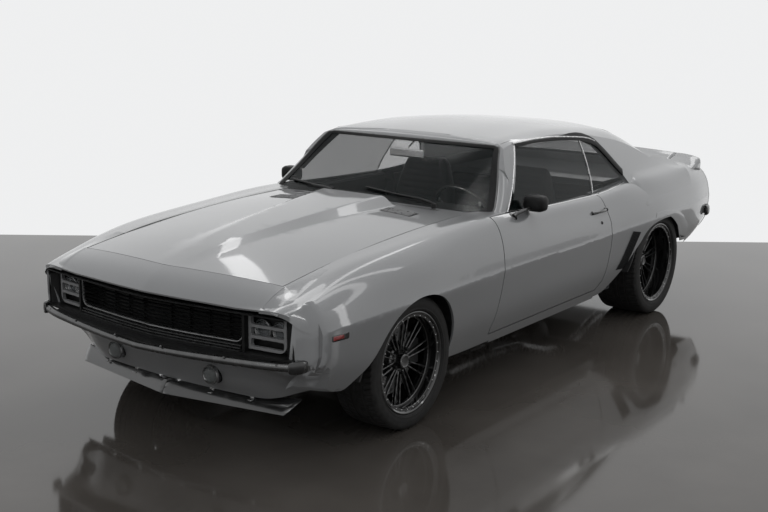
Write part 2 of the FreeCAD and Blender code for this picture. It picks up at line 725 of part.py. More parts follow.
def front_bumper():
    blade = strip(BUMPER_PLAN, 26, BUMPER_LOW_Z, BUMPER_TOP_Z)
    behind = band(lambda x: nose_y(x) - RUN_GAP, lambda x: nose_y(x) + 400, NOSE_HALF_W, BUMPER_LOW_Z - 10,
                  BUMPER_TOP_Z + 10, 27)
    shelf = band(lambda x: bumper_y(x) + 20, lambda x: nose_y(x) + 16, 700, COVER_LOW_Z - 34,
                 COVER_LOW_Z - 22)
    return joined([less(blade, behind), shelf])


def valance_low_z(x):
    return VALANCE_LOW_Z + VALANCE_RISE * min(1.0, max(0.0, (x - 560) / 280.0)) ** 1.5


def front_valance():
    xs = spread(-846, 846, 23)
    grid = []
    for s in spread(0, 1, 7):
        row = []
        for x in xs:
            inward = 1 - (x / 846) ** 2
            top = V(x, nose_y(abs(x)) + VALANCE_BACK * inward + 4, BUMPER_LOW_Z - RUN_GAP)
            low = V(x, -2060 - 90 * inward, valance_low_z(abs(x)))
            row.append(top + (low - top) * s + V(0, -10 * math.sin(math.pi * s), 0))
        grid.append(row)
    panel = face_of(grid).extrude(V(0, SKIN, 0))
    a = V(ROUND_LAMP_X, -2500, ROUND_LAMP_Z)
    hole = rod(a, a + V(0, 600, 0), ROUND_LAMP_R + RUN_GAP)
    return panel.cut([hole, mirrored(hole)])


def front_splitter():
    """Two flat wings that meet in a notch at the middle."""
    lead, tip = V(14, -2206, 196), V(668, -2104, 204)
    tip_top, root = V(718, -2032, 266), V(14, -2162, 258)
    wing = Part.makeLoft([Part.makePolygon([lead, tip, tip + V(0, 8, 4), lead + V(0, 8, 4), lead]),
                          Part.makePolygon([root, tip_top, tip_top + V(0, 8, 4), root + V(0, 8, 4), root])],
                         True, True)
    bracket = box(-16, 16, -2190, -2150, 206, VALANCE_LOW_Z - RUN_GAP)
    return joined([wing, mirrored(wing), bracket])


# Tail: panel, lamps, bumper and valance
def tail_panel():
    """The flat panel between the quarters, as wide as their end section, with pockets for the lamps."""
    edge = [side_point(TAIL_Y, t) for t in spread(1, 8, 15)]
    outline = [(p.x - 1, p.z) for p in edge]
    outline += [(-x, z) for x, z in reversed(outline)]
    over_tail = box(-900, 900, 2200, 2400, LID_LOW_Z - PANEL_GAP, 1000)
    panel = prism_y(outline, TAIL_Y, TAIL_Y + TAIL_T).cut(over_tail)
    for x0, x1 in TAIL_LAMP_X:
        pocket = box(x0, x1, TAIL_Y + 6, TAIL_Y + 60, TAIL_LAMP_LOW_Z, TAIL_LAMP_TOP_Z)
        panel = panel.cut([pocket, mirrored(pocket)])
    stop = box(280, 320, TAIL_Y - SKIN, TAIL_Y + 4, LID_LOW_Z - PANEL_GAP - 10, LID_LOW_Z - RUN_GAP)
    plate = box(-155, 155, TAIL_Y + TAIL_T, TAIL_Y + TAIL_T + PLATE_T, PLATE_LOW_Z, PLATE_LOW_Z + 60)
    for x in (-PLATE_HOLES / 2, PLATE_HOLES / 2):
        hole = V(x, TAIL_Y, PLATE_LOW_Z + 30)
        plate = plate.cut(rod(hole, hole + V(0, 60, 0), PLATE_HOLE_R))
        panel = panel.cut(rod(hole, hole + V(0, 60, 0), PLATE_HOLE_R))
    return joined([panel, stop, mirrored(stop), plate])


def tail_lamps():
    lamps = []
    for x0, x1 in TAIL_LAMP_X:
        lamp = box(x0 + 1, x1 - 1, TAIL_Y + 6, TAIL_Y + 24, TAIL_LAMP_LOW_Z + 1, TAIL_LAMP_TOP_Z - 1)
        lamps.append(lamp)
    return both(Part.makeCompound(lamps))


def rear_bumper():
    blade = strip(TAIL_PLAN, -26, REAR_BUMPER_LOW_Z, REAR_BUMPER_TOP_Z)
    stub = box(300, 350, TAIL_Y + TAIL_T + RUN_GAP, 2332, REAR_BUMPER_LOW_Z + 15, REAR_BUMPER_TOP_Z - 15)
    return joined([blade, stub, mirrored(stub)])


# Wheels and tyres, each turned about the X axis at its own hub
def turned(profile, centre):
    """A solid of revolution about the X axis through centre, from (x, r) points."""
    face = Part.Face(Part.makePolygon([V(x, 0, r) for x, r in profile + [profile[0]]]))
    shape = face.revolve(V(0, 0, 0), V(1, 0, 0), 360)
    shape.translate(centre)
    return shape


def tyre(out_x, width, r, rim_r, centre):
    """The tyre's section, crowned at the tread and bulging at the side walls."""
    inner_x = out_x - width
    shoulder = 22.0
    bead = rim_r + RUN_GAP
    section = [(out_x - 14, bead), (out_x, bead + 0.45 * (r - bead)), (out_x - 5, r - shoulder),
               (out_x - shoulder, r - 4), (out_x - 0.33 * width, r), (inner_x + 0.33 * width, r),
               (inner_x + shoulder, r - 4), (inner_x + 5, r - shoulder),
               (inner_x, bead + 0.45 * (r - bead)), (inner_x + 14, bead)]
    return turned(section, centre)


def wheel(out_x, width, rim_r, dish, centre):
    """A deep-dished rim with paired spokes, its hub, the brake disc and the lug holes."""
    o, i = out_x - 10, out_x - width + 10
    bore = rim_r - RIM_WALL
    rim = turned([(o, rim_r), (o, bore + 3), (o - 5, bore - 6), (o - 18, bore - 14), (i + 30, bore - 14),
                  (i, bore), (i, rim_r), (i + 12, rim_r), (i + 30, rim_r - 12), (o - 24, rim_r - 12),
                  (o - 12, rim_r)], centre)
    hub_x = o - dish
    hub = turned([(hub_x, HUB_BORE_R), (hub_x, 64), (hub_x - 10, 84), (hub_x - 38, 84),
                  (hub_x - 38, HUB_BORE_R)], centre)
    pieces = [rim, hub]
    foot, root = bore - 12, 70
    blade = [(hub_x - 2, root), (hub_x - 30, root), (o - 52, foot + 4), (o - 22, foot + 4)]
    for k in range(SPOKE_PAIRS):
        for side in (-1, 1):
            spoke = prism([V(x, -6, r) for x, r in blade], V(0, 12, 0))
            spoke.rotate(V(0, 0, 0), V(1, 0, 0), 360.0 * k / SPOKE_PAIRS + side * 9.5)
            spoke.translate(centre)
            pieces.append(spoke)
    disc = turned([(hub_x - 38, 60), (hub_x - 38, 84), (hub_x - 52, 90), (hub_x - 52, DISC_R),
                   (hub_x - 52 - DISC_T, DISC_R), (hub_x - 52 - DISC_T, 60)], centre)
    pieces.append(disc)
    whole = joined(pieces)
    for k in range(LUGS):
        angle = 2 * math.pi * (k + 0.5) / LUGS
        foot_at = centre + V(hub_x - 36, LUG_CIRCLE_R * math.sin(angle), LUG_CIRCLE_R * math.cos(angle))
        whole = whole.cut(rod(foot_at, foot_at + V(60, 0, 0), LUG_HOLE_R))
    return whole


FRONT_HUB = V(0, FRONT_AXLE_Y, FRONT_TYRE_R)
REAR_HUB = V(0, REAR_AXLE_Y, REAR_TYRE_R)
FRONT_DISC_X = FRONT_TYRE_OUT_X - 10 - FRONT_DISH - 52 - DISC_T
REAR_DISC_X = REAR_TYRE_OUT_X - 10 - REAR_DISH - 52 - DISC_T


def knuckle():
    """The upright, its spindle and the caliper over the disc."""
    y, z = FRONT_AXLE_Y, FRONT_TYRE_R
    back = FRONT_DISC_X - 8
    upright = prism_y([(back - 46, z - 118), (back - 12, z - 118), (back, z - 40), (back, z + 40),
                       (back - 30, z + 128), (back - 62, z + 128), (back - 40, z + 20)], y - 26, y + 26)
    spindle = rod(V(back - 10, y, z), V(FRONT_DISC_X + DISC_T + 40, y, z), HUB_BORE_R - RUN_GAP)
    arm = box(back - 40, back - 20, y, y + 130, z - 62, z - 44)
    caliper = box(FRONT_DISC_X - 8 - 22, FRONT_DISC_X + DISC_T + 20, y + 96, y + 196, z - 60, z + 60)
    slot_in, slot_out = FRONT_DISC_X - 5, FRONT_DISC_X + DISC_T + 5
    slot = turned([(slot_in, 0), (slot_in, DISC_R + 6), (slot_out, DISC_R + 6), (slot_out, 0)], V(0, y, z))
    limit = turned([(600, 0), (600, FRONT_RIM_R - 34), (860, FRONT_RIM_R - 34), (860, 0)], V(0, y, z))
    caliper = caliper.common(limit).cut(slot)
    ear = box(back - 20, back, y + 10, y + 110, z - 20, z + 20)
    return joined([upright, spindle, arm, ear, caliper])


# Underbody
def floor_pan():
    """Flat floor with a tunnel, the kick-up to the trunk floor and the tubs over the rear wheels."""
    floor = box(-CABIN_HALF_W, CABIN_HALF_W, FIREWALL_Y, KICK_Y, FLOOR_Z, FLOOR_Z + FLOOR_T)
    tunnel = prism_y([(-170, FLOOR_Z), (-120, TUNNEL_Z), (120, TUNNEL_Z), (170, FLOOR_Z)], FIREWALL_Y,
                     KICK_Y + 20)
    hollow = prism_y([(-150, FLOOR_Z - 40), (-106, TUNNEL_Z - 20), (106, TUNNEL_Z - 20), (150, FLOOR_Z - 40)],
                     FIREWALL_Y - 50, KICK_Y + 82)
    kick = prism_x([(KICK_Y, FLOOR_Z), (KICK_Y, FLOOR_Z + FLOOR_T), (KICK_Y + 60, TRUNK_Z + 20),
                    (KICK_Y + 90, TRUNK_Z + 20), (KICK_Y + 90, TRUNK_Z), (KICK_Y + 20, FLOOR_Z)],
                   -TRUNK_HALF_W, TRUNK_HALF_W)
    rear = box(-TRUNK_HALF_W, TRUNK_HALF_W, KICK_Y + 60, TAIL_Y - 56, TRUNK_Z, TRUNK_Z + 20)
    return joined([floor, tunnel, kick, rear]).cut(hollow)


def rear_tub():
    outer = turned([(TRUNK_HALF_W, 0), (TRUNK_HALF_W, TUB_R + 12), (930, TUB_R + 12), (930, 0)], REAR_HUB)
    inner = turned([(TRUNK_HALF_W + 12, 0), (TRUNK_HALF_W + 12, TUB_R), (940, TUB_R), (940, 0)], REAR_HUB)
    tub = outer.cut([inner, box(0, 1000, 800, 2000, -200, REAR_TYRE_R)])
    wing = box(TRUNK_HALF_W, 880, REAR_AXLE_Y + TUB_R - 10, TAIL_Y - 8, TRUNK_Z, TRUNK_Z + 12)
    wall = box(TRUNK_HALF_W, TRUNK_HALF_W + 12, REAR_AXLE_Y - TUB_R + 40, CABIN_REAR_Y + 60, TRUNK_Z,
               DECK_SHELF_Z)
    side = box(CABIN_HALF_W, CABIN_HALF_W + 12, DOOR_REAR_Y + 6, REAR_AXLE_Y - TUB_R + 30, SILL_TOP_Z, 846)
    end = box(TRUNK_HALF_W, CABIN_HALF_W + 12, REAR_AXLE_Y - TUB_R + 18, REAR_AXLE_Y - TUB_R + 30,
              REAR_TYRE_R, 846)
    jamb = box(CABIN_HALF_W, 840, DOOR_REAR_Y + 6, DOOR_REAR_Y + 18, SILL_TOP_Z, 800)
    pad = box(CABIN_HALF_W, DOOR_IN_X - RUN_GAP, DOOR_REAR_Y - 62, DOOR_REAR_Y + 10, 560, 620)
    axle_window = box(TRUNK_HALF_W - 10, TRUNK_HALF_W + 20, REAR_AXLE_Y - 60, REAR_AXLE_Y + 60, 300, 420)
    wheel_room = inner.common(box(0, 1000, 0, 2000, 0, 900))
    return less(joined([tub, wing, wall, side, end, jamb, pad]), wheel_room, axle_window)


def front_tub():
    """The wheelhouse over a steered wheel: wall, roof and ends, up to the fender."""
    y0, y1 = FRONT_AXLE_Y - FRONT_TUB_HALF, FRONT_AXLE_Y + FRONT_TUB_HALF
    profile = [(y0, 330), (y0, 560), (y0 + 110, FRONT_TUB_Z), (y1 - 110, FRONT_TUB_Z), (y1, 560), (y1, 330)]
    inside = [(y + (12 if y < FRONT_AXLE_Y else -12), z - (12 if z > 400 else 40)) for y, z in profile]
    tub = prism_x(profile, FRONT_TUB_X, 930).cut(prism_x(inside, FRONT_TUB_X + 12, 940))
    apron = box(596, 608, -2010, FIREWALL_Y - 20, FRONT_TUB_Z - 12, 900)
    under_hood = crowned_solid(under_hood_z, HOOD_HALF_W + 20, -2100, -650, 600, -SKIN - 12)
    return tub, apron.common(under_hood)


def sills():
    """The boxed sills under the doors, joined to the rocker skins."""
    tube = box(CABIN_HALF_W + RUN_GAP, 800, FIREWALL_Y, KICK_Y + 60, SILL_LOW_Z, SILL_TOP_Z)
    web = box(790, 836, DOOR_FRONT_Y - 30, DOOR_REAR_Y - 70, SILL_LOW_Z, FLOOR_Z + 24)
    return joined([tube, web])


def firewall():
    """The wall between engine and cabin, with the hinge pillars at its ends and a toe board."""
    wall = box(-CABIN_HALF_W, CABIN_HALF_W, FIREWALL_Y - 14, FIREWALL_Y, FLOOR_Z, 840)
    floor_top = FLOOR_Z + FLOOR_T
    toe = prism_x([(FIREWALL_Y, 470), (FIREWALL_Y + 190, floor_top), (FIREWALL_Y + 174, floor_top),
                   (FIREWALL_Y, 454)], -CABIN_HALF_W, CABIN_HALF_W)
    tunnel = prism_y([(-172, FLOOR_Z - 60), (-122, TUNNEL_Z + 2), (122, TUNNEL_Z + 2), (172, FLOOR_Z - 60)],
                     FIREWALL_Y - 60, FIREWALL_Y + 300)
    pillar = box(CABIN_HALF_W - 20, DOOR_IN_X - 12, FIREWALL_Y - 14, FIREWALL_Y + 70, SILL_TOP_Z + RUN_GAP,
                 840)
    shelf = box(-CABIN_HALF_W, CABIN_HALF_W, FIREWALL_Y - 14, FIREWALL_Y + 60, 828, 840)
    return joined([wall.cut(tunnel), toe.cut(tunnel), pillar, mirrored(pillar), shelf])


def rear_deck():
    """The package shelf behind the rear seat and the filler between backlight and trunk lid."""
    shelf = box(-TRUNK_HALF_W, TRUNK_HALF_W, CABIN_REAR_Y, LID_FRONT_Y - 6, DECK_SHELF_Z, DECK_SHELF_Z + 12)
    bulkhead = box(-TRUNK_HALF_W, TRUNK_HALF_W, CABIN_REAR_Y, CABIN_REAR_Y + 10, TRUNK_Z + 20 + RUN_GAP,
                   DECK_SHELF_Z)
    step = box(-TRUNK_HALF_W, TRUNK_HALF_W, LID_FRONT_Y - 30, LID_FRONT_Y - 6, DECK_SHELF_Z, 912)
    return joined([shelf, bulkhead, step, deck_filler()])


def subframe():
    rail = box(300, 350, -2000, FIREWALL_Y - 20, 246, 326)
    cross = prism_x([(FRONT_AXLE_Y - 70, 250), (FRONT_AXLE_Y - 50, 205), (FRONT_AXLE_Y + 50, 205),
                     (FRONT_AXLE_Y + 70, 250), (FRONT_AXLE_Y + 70, 290), (FRONT_AXLE_Y - 70, 290)], -320, 320)
    lead = box(-350, 350, -2076, -1960, 246, 300 - RUN_GAP)
    mount = box(-200, 200, FRONT_AXLE_Y - 50, FRONT_AXLE_Y + 50, 280, 330 - RUN_GAP)
    tail = box(-350, 350, -800, -640, 236, FLOOR_Z - RUN_GAP)
    tower = box(300, 372, FRONT_AXLE_Y - 60, FRONT_AXLE_Y + 60, 300, 520)
    y = FRONT_AXLE_Y
    lower = prism_z([(340, y - 130), (360, y - 130), (KNUCKLE_X - 20, y - 22), (KNUCKLE_X + 10, y - 22),
                     (KNUCKLE_X + 10, y + 22), (KNUCKLE_X - 20, y + 22), (360, y + 130), (340, y + 130)],
                    180, 207 - RUN_GAP)
    lower = joined([lower, box(330, 352, y - 130, y + 130, 178, 250)])
    upper = prism_z([(360, y - 90), (380, y - 90), (KNUCKLE_X - 50, y - 18), (KNUCKLE_X - 28, y - 18),
                     (KNUCKLE_X - 28, y + 18), (KNUCKLE_X - 50, y + 18), (380, y + 90), (360, y + 90)],
                    453 + RUN_GAP, 472)
    left = joined([rail, tower, lower, upper])
    return joined([left, mirrored(left), cross, lead, tail, mount])


def radiator():
    core = box(-350, 350, -2076, -2028, 300, 720)
    plate = box(-620, 620, -2022, -2010, 300, 740).cut(box(-330, 330, -2030, -2000, 330, 700))
    stop = rod(V(520, -2016, 736), V(520, -2016, under_hood_z(520, -2016) - SKIN + 10), 5)
    return joined([core, box(-350, 350, -2030, -2010, 300, 326), plate, stop, mirrored(stop)])


def engine():
    return box(-270, 270, -1850, -1020, 330, 800)


def rear_axle():
    tube_end = REAR_DISC_X - 8
    tube = rod(V(-tube_end, REAR_AXLE_Y, REAR_TYRE_R), V(tube_end, REAR_AXLE_Y, REAR_TYRE_R), 38)
    bulge = turned([(-130, 0), (-70, 118), (70, 118), (130, 0)], REAR_HUB)
    nose = rod(V(0, REAR_AXLE_Y - 260, REAR_TYRE_R), V(0, REAR_AXLE_Y, REAR_TYRE_R), 62)
    shaft = rod(V(0, -1020 + RUN_GAP, 350), V(0, REAR_AXLE_Y - 250, REAR_TYRE_R), 40)
    stub = rod(V(REAR_DISC_X - 10, REAR_AXLE_Y, REAR_TYRE_R), V(REAR_DISC_X + 60, REAR_AXLE_Y, REAR_TYRE_R),
               HUB_BORE_R - RUN_GAP)
    spring = prism_x([(880, 372), (1020, 318), (REAR_AXLE_Y, 286), (1640, 320), (1930, 440), (1930, 454),
                      (1640, 336), (REAR_AXLE_Y, 302), (1020, 334), (880, 388)], 468, 530)
    pad = box(462, 536, REAR_AXLE_Y - 60, REAR_AXLE_Y + 60, 280, 306)
    hanger = box(474, 524, 1916, 1944, 440, TRUNK_Z - RUN_GAP)
    front = box(474, 524, 872, 898, 370, TRUNK_Z - RUN_GAP)
    left = joined([spring, pad, hanger, front, stub])
    return joined([tube, bulge, nose, shaft, left, mirrored(left)])


def exhaust():
    pieces = [rod(V(240, -1000, PIPE_Z), V(240, TAIL_Y + 40, PIPE_Z), PIPE_R),
              rod(V(240, -60, PIPE_Z), V(240, 420, PIPE_Z), 62)]
    pieces.append(box(232, 248, 1990, 2010, PIPE_Z + PIPE_R - 4, TANK_LOW_Z + 60))
    pieces.append(box(232, 248, 100, 120, PIPE_Z + 50, FLOOR_Z - RUN_GAP))
    left = joined(pieces)
    hollow = rod(V(240, 2100, PIPE_Z), V(240, 2400, PIPE_Z), PIPE_R - 4)
    left = left.cut(hollow)
    return both(left)


def fuel_tank():
    tank = box(-400, 400, 1690, 2130, TANK_LOW_Z, TRUNK_Z - RUN_GAP)
    tank = rounded(tank, 36, lambda e: along(e, V(0, 0, 1)))
    slot = box(228, 252, 1980, 2020, TANK_LOW_Z - 10, TANK_LOW_Z + 60 + RUN_GAP)
    return tank.cut([slot, mirrored(slot)])


# Cabin furniture
def dash():
    front, foot = FIREWALL_Y + RUN_GAP, TUNNEL_Z + RUN_GAP
    body = prism_x([(front, 800), (-640, 812), (-470, 866), (-372, 862), (-346, 800), (-372, 706),
                    (-440, 640), (-560, 640), (-626, 740), (front, 760)], -690, 690)
    console = prism_y([(-104, foot), (-88, 500), (88, 500), (104, foot)], -480, 260)
    return joined([body, console, box(-70, 70, -480, -440, 490, 660)])


STEER_CENTRE = V(355, -193, 814)
STEER_AXIS = V(0, 0.9, 0.436).normalize()


def steering_wheel():
    rim = Part.makeTorus(STEER_R, STEER_TUBE_R, STEER_CENTRE, STEER_AXIS)
    dish = STEER_CENTRE - STEER_AXIS * 55
    hub = rod(dish - STEER_AXIS * 6, dish + STEER_AXIS * 16, 42)
    pieces = [rim, hub]
    across_it = V(1, 0, 0)
    for angle in (30, 150, 270):
        outward = V(across_it)
        turn = FreeCAD.Rotation(STEER_AXIS, angle)
        outward = turn.multVec(outward)
        a, b = dish + outward * 34, STEER_CENTRE + outward * (STEER_R - 2)
        pieces.append(rod(a, b, 7))
    return joined(pieces)


def steering_column():
    top = STEER_CENTRE - STEER_AXIS * (61 + RUN_GAP)
    return rod(top, top - STEER_AXIS * 120, 27).fuse(rod(top - STEER_AXIS * 100, top - STEER_AXIS * 230, 20))


def seat():
    """A high-backed bucket seat: cushion and back, both crowned forms, on a low plinth."""
    cushion = prism_x([(-110, 400), (-120, 470), (-40, 508), (330, 478), (390, 400)], SEAT_X - SEAT_HALF_W,
                      SEAT_X + SEAT_HALF_W)
    back = prism_x([(300, 482), (396, 430), (470, 560), (560, 960), (548, 1010), (470, 1012), (440, 960),
                    (372, 600)], SEAT_X - SEAT_HALF_W + 5, SEAT_X + SEAT_HALF_W - 5)
    plinth = box(SEAT_X - 170, SEAT_X + 170, -60, 330, FLOOR_Z + FLOOR_T + RUN_GAP, 404)
    return joined([cushion, back, plinth])


def rear_seat():
    foot, rear = TRUNK_Z + 20 + RUN_GAP, CABIN_REAR_Y - RUN_GAP
    cushion = prism_x([(KICK_Y + 62, foot), (KICK_Y - 30, 540), (KICK_Y - 20, 575), (1000, 552), (1040, foot)],
                      -560, 560)
    back = prism_x([(1000, 540), (1030, 800), (1050, 842), (rear, 842), (rear, foot), (1030, foot)], -560, 560)
    return joined([cushion, back])


def mirror():
    foot = V(826, -478, 884)
    head = Part.makeBox(132, 52, 86, V(880, -516, 934))
    head = rounded(head, 16, lambda e: True)
    stalk = rod(foot, V(900, -490, 950), 9)
    base = rod(foot + V(-2, 0, -8), foot + V(2, 0, 6), 26)
    return joined([head, stalk, base])


def inside_mirror():
    head = rounded(box(-118, 118, -262, -244, 1106, 1156), 8, lambda e: True)
    stalk = rod(V(0, -252, 1150), V(0, -130, 1222), 5)
    return joined([head, stalk])


def wipers():
    arms = []
    for x0, x1 in ((60, 520), (-420, 40)):
        y0, y1 = shield_y(x0, 905), shield_y(x1, 925)
        foot = V(x1, y1 - 52, under_hood_z(x1, y1 - 52) - 2)
        tip = V(x0, shield_y(x0, 950) - 12, 950)
        arms.append(joined([rod(foot, foot + V(0, 0, 22), 12), rod(foot + V(0, 0, 16), tip, 5)]))
    return Part.makeCompound(arms)


# Assembly
fender, door_skin, rocker, quarter = side_panels()
outside = outboard()
frame = cabin_frame()
door = door_panel(door_skin)
door_glass, quarter_glass = side_panes()
windshield = windshield_pane()
tub, apron = front_tub()
arm_window = box(FRONT_TUB_X - 10, FRONT_TUB_X + 20, FRONT_AXLE_Y - 90, FRONT_AXLE_Y + 90, 440, 486)
inner_fender = less(joined([tub, apron]), outside, arm_window)
quarter = less(quarter, frame, quarter_glass)
fender = less(fender, frame, windshield)
tub_rear = less(rear_tub(), outside, quarter)
cowl = less(cowl_panel(), windshield)
floor = floor_pan()
wall = less(firewall(), floor, cowl)
surround = nose_frame()
hood = hood_panel()
hood_seat = hood.copy()
hood_seat.translate(V(0, 0, -RUN_GAP))
column = steering_column()
column_clear = rod(STEER_CENTRE - STEER_AXIS * 60, STEER_CENTRE - STEER_AXIS * 300, 27 + RUN_GAP)

for side, place in (("left", lambda shape: shape), ("right", mirrored)):
    save("fender_" + side, place(fender))
    save("door_" + side, place(door))
    save("door_glass_" + side, place(door_glass))
    save("mirror_" + side, place(less(mirror(), door)))
    save("quarter_" + side, place(quarter))
    save("knuckle_" + side, place(knuckle()))
    save("tyre_front_" + side,
         place(tyre(FRONT_TYRE_OUT_X, FRONT_TYRE_W, FRONT_TYRE_R, FRONT_RIM_R, FRONT_HUB)))
    save("tyre_rear_" + side, place(tyre(REAR_TYRE_OUT_X, REAR_TYRE_W, REAR_TYRE_R, REAR_RIM_R, REAR_HUB)))
    save("wheel_front_" + side,
         place(wheel(FRONT_TYRE_OUT_X, FRONT_TYRE_W, FRONT_RIM_R, FRONT_DISH, FRONT_HUB)))
    save("wheel_rear_" + side, place(wheel(REAR_TYRE_OUT_X, REAR_TYRE_W, REAR_RIM_R, REAR_DISH, REAR_HUB)))
    save("seat_" + side, place(seat()))

save("roof", frame)
save("fixed_glass", Part.makeCompound([windshield, backlight_pane(), quarter_glass, mirrored(quarter_glass)]))
save("hood", hood)
save("cowl", cowl)
save("header_panel", header_panel())
save("trunk_lid", trunk_lid())
save("rear_spoiler", less(prism_x(spoiler_section(LID_HALF_W), -LID_HALF_W + 4, LID_HALF_W - 4), trunk_lid()))
save("rear_deck", less(rear_deck(), quarter, mirrored(quarter)))
save("grille", grille())
save("lamp_covers", both(lamp_cover()))
save("head_lamps", head_lamps())
save("nose_frame", less(surround, fender, mirrored(fender)))
save("front_bumper", front_bumper())
valance = less(front_valance(), fender, mirrored(fender))
save("front_valance", valance)
save("front_splitter", less(front_splitter(), valance))
tail = tail_panel()
save("tail_panel", tail)
save("tail_lamps", tail_lamps())
save("rear_bumper", less(rear_bumper(), quarter, mirrored(quarter), tail))
save("sills", both(less(joined([sills(), rocker]), fender)))
save("floor_pan", floor)
save("firewall", wall)
save("inner_fenders", both(inner_fender))
save("rear_tubs", both(tub_rear))
save("subframe", subframe())
save("radiator", less(radiator(), hood_seat))
save("engine", engine())
save("rear_axle", rear_axle())
save("exhaust", exhaust())
save("fuel_tank", fuel_tank())
save("dash", less(dash(), column_clear, wall, cowl))
save("steering_wheel", steering_wheel())
save("steering_column", column)
save("rear_seat", rear_seat())
save("inside_mirror", less(inside_mirror(), frame))
save("wipers", less(wipers(), cowl))
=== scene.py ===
# Looks of a two-door hardtop coupe on wide wheels, in metres: nose along -Y, car's left +X, up +Z.
import json
import math

import bmesh
import bpy
import numpy as np
from mathutils import Matrix, Vector
from mathutils.bvhtree import BVHTree
from mathutils.interpolate import poly_3d_calc


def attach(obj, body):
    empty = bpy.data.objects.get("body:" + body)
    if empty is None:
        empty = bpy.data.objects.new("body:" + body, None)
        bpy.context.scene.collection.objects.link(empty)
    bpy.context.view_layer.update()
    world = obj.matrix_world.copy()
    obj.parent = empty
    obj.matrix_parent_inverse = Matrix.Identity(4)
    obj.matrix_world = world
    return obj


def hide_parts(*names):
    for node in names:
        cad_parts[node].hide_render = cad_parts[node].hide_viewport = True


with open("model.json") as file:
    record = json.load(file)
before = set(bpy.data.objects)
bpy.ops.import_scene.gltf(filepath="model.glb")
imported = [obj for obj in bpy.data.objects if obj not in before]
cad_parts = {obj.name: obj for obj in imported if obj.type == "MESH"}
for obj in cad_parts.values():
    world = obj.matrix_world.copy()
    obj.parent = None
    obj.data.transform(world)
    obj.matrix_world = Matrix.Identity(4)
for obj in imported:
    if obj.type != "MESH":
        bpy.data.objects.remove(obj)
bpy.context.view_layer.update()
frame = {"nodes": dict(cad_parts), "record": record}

MM = 0.001
WELD = 1e-5
SIDES = (("left", 1), ("right", -1))
ORIGIN = (0, 0, 0)
FRONT_HUB = (0.0, -1.432, 0.325)
REAR_HUB = (0.0, 1.311, 0.335)
NOISE, WAVE, CELLS = "ShaderNodeTexNoise", "ShaderNodeTexWave", "ShaderNodeTexVoronoi"
FINE = (0.02, 0.0002)


def mm(*values):
    """Lengths in metres from millimetres."""
    return tuple(v * MM for v in values)


# Materials
def set_inputs(node, values):
    for key, value in values.items():
        node.inputs[key.replace("_", " ")].default_value = value


def add_node(tree, kind, **values):
    """A new node with the named inputs set."""
    node = tree.nodes.new(kind)
    set_inputs(node, values)
    return node


def shader_of(m):
    return m.node_tree.nodes["Principled BSDF"]


def shader(name, color, rough, metal=0.0, **sockets):
    """A procedural material; the named sockets are set on its surface shader."""
    m = bpy.data.materials.new(name)
    m.use_nodes = True
    set_inputs(shader_of(m), {"Base Color": (*color, 1), "Roughness": rough, "Metallic": metal, **sockets})
    return m


def add_texture(m, kind, scale, detail=3.0):
    """A texture in object coordinates."""
    tree = m.node_tree
    where = tree.nodes.new("ShaderNodeTexCoord")
    texture = add_node(tree, kind, Scale=scale)
    if "Detail" in texture.inputs:
        texture.inputs["Detail"].default_value = detail
    tree.links.new(where.outputs["Object"], texture.inputs["Vector"])
    return texture


def vary(m, texture, low, high):
    """Drives the roughness between low and high by the texture."""
    tree = m.node_tree
    span = add_node(tree, "ShaderNodeMapRange", From_Min=0.3, From_Max=0.7, To_Min=low, To_Max=high)
    tree.links.new(texture.outputs["Fac"], span.inputs["Value"])
    tree.links.new(span.outputs["Result"], shader_of(m).inputs["Roughness"])


def tint(m, texture, dark, light):
    """Blends the base colour between two by the texture."""
    tree = m.node_tree
    ramp = tree.nodes.new("ShaderNodeValToRGB")
    for stop, place, color in zip(ramp.color_ramp.elements, (0.3, 0.7), (dark, light)):
        stop.position = place
        stop.color = (*color, 1)
    tree.links.new(texture.outputs["Fac"], ramp.inputs["Fac"])
    tree.links.new(ramp.outputs["Color"], shader_of(m).inputs["Base Color"])


def relief(m, texture, strength, distance, output="Fac"):
    """Adds a bump by the texture on top of the bumps that the material has."""
    tree, normal = m.node_tree, shader_of(m).inputs["Normal"]
    bump = add_node(tree, "ShaderNodeBump", Strength=strength, Distance=distance)
    if normal.links:
        tree.links.new(normal.links[0].from_socket, bump.inputs["Normal"])
    tree.links.new(texture.outputs[output], bump.inputs["Height"])
    tree.links.new(bump.outputs["Normal"], normal)


def color_of(value):
    """A colour as it is, or the grey of one number."""
    return value if isinstance(value, tuple) else (value, value, value)


def finish_of(name, dark, light, rough, metal=0.0, grain=60.0, spread=0.05, bump=(0.05, 0.0004), **sockets):
    """A finish whose colour and roughness vary a little over the surface, with a fine relief."""
    m = shader(name, color_of(light), rough, metal, **sockets)
    cloud = add_texture(m, NOISE, grain)
    tint(m, cloud, color_of(dark), color_of(light))
    vary(m, cloud, max(0.02, rough - spread), rough + spread)
    relief(m, add_texture(m, NOISE, grain * 8), *bump)
    return m


def clear(name, color, rough, alpha):
    """A thin glass: seen through by its alpha, with a weak gloss."""
    m = shader(name, color, rough, Alpha=alpha, IOR=1.45, Specular_IOR_Level=0.32)
    vary(m, add_texture(m, NOISE, 4.0), rough, rough + 0.02)
    return m


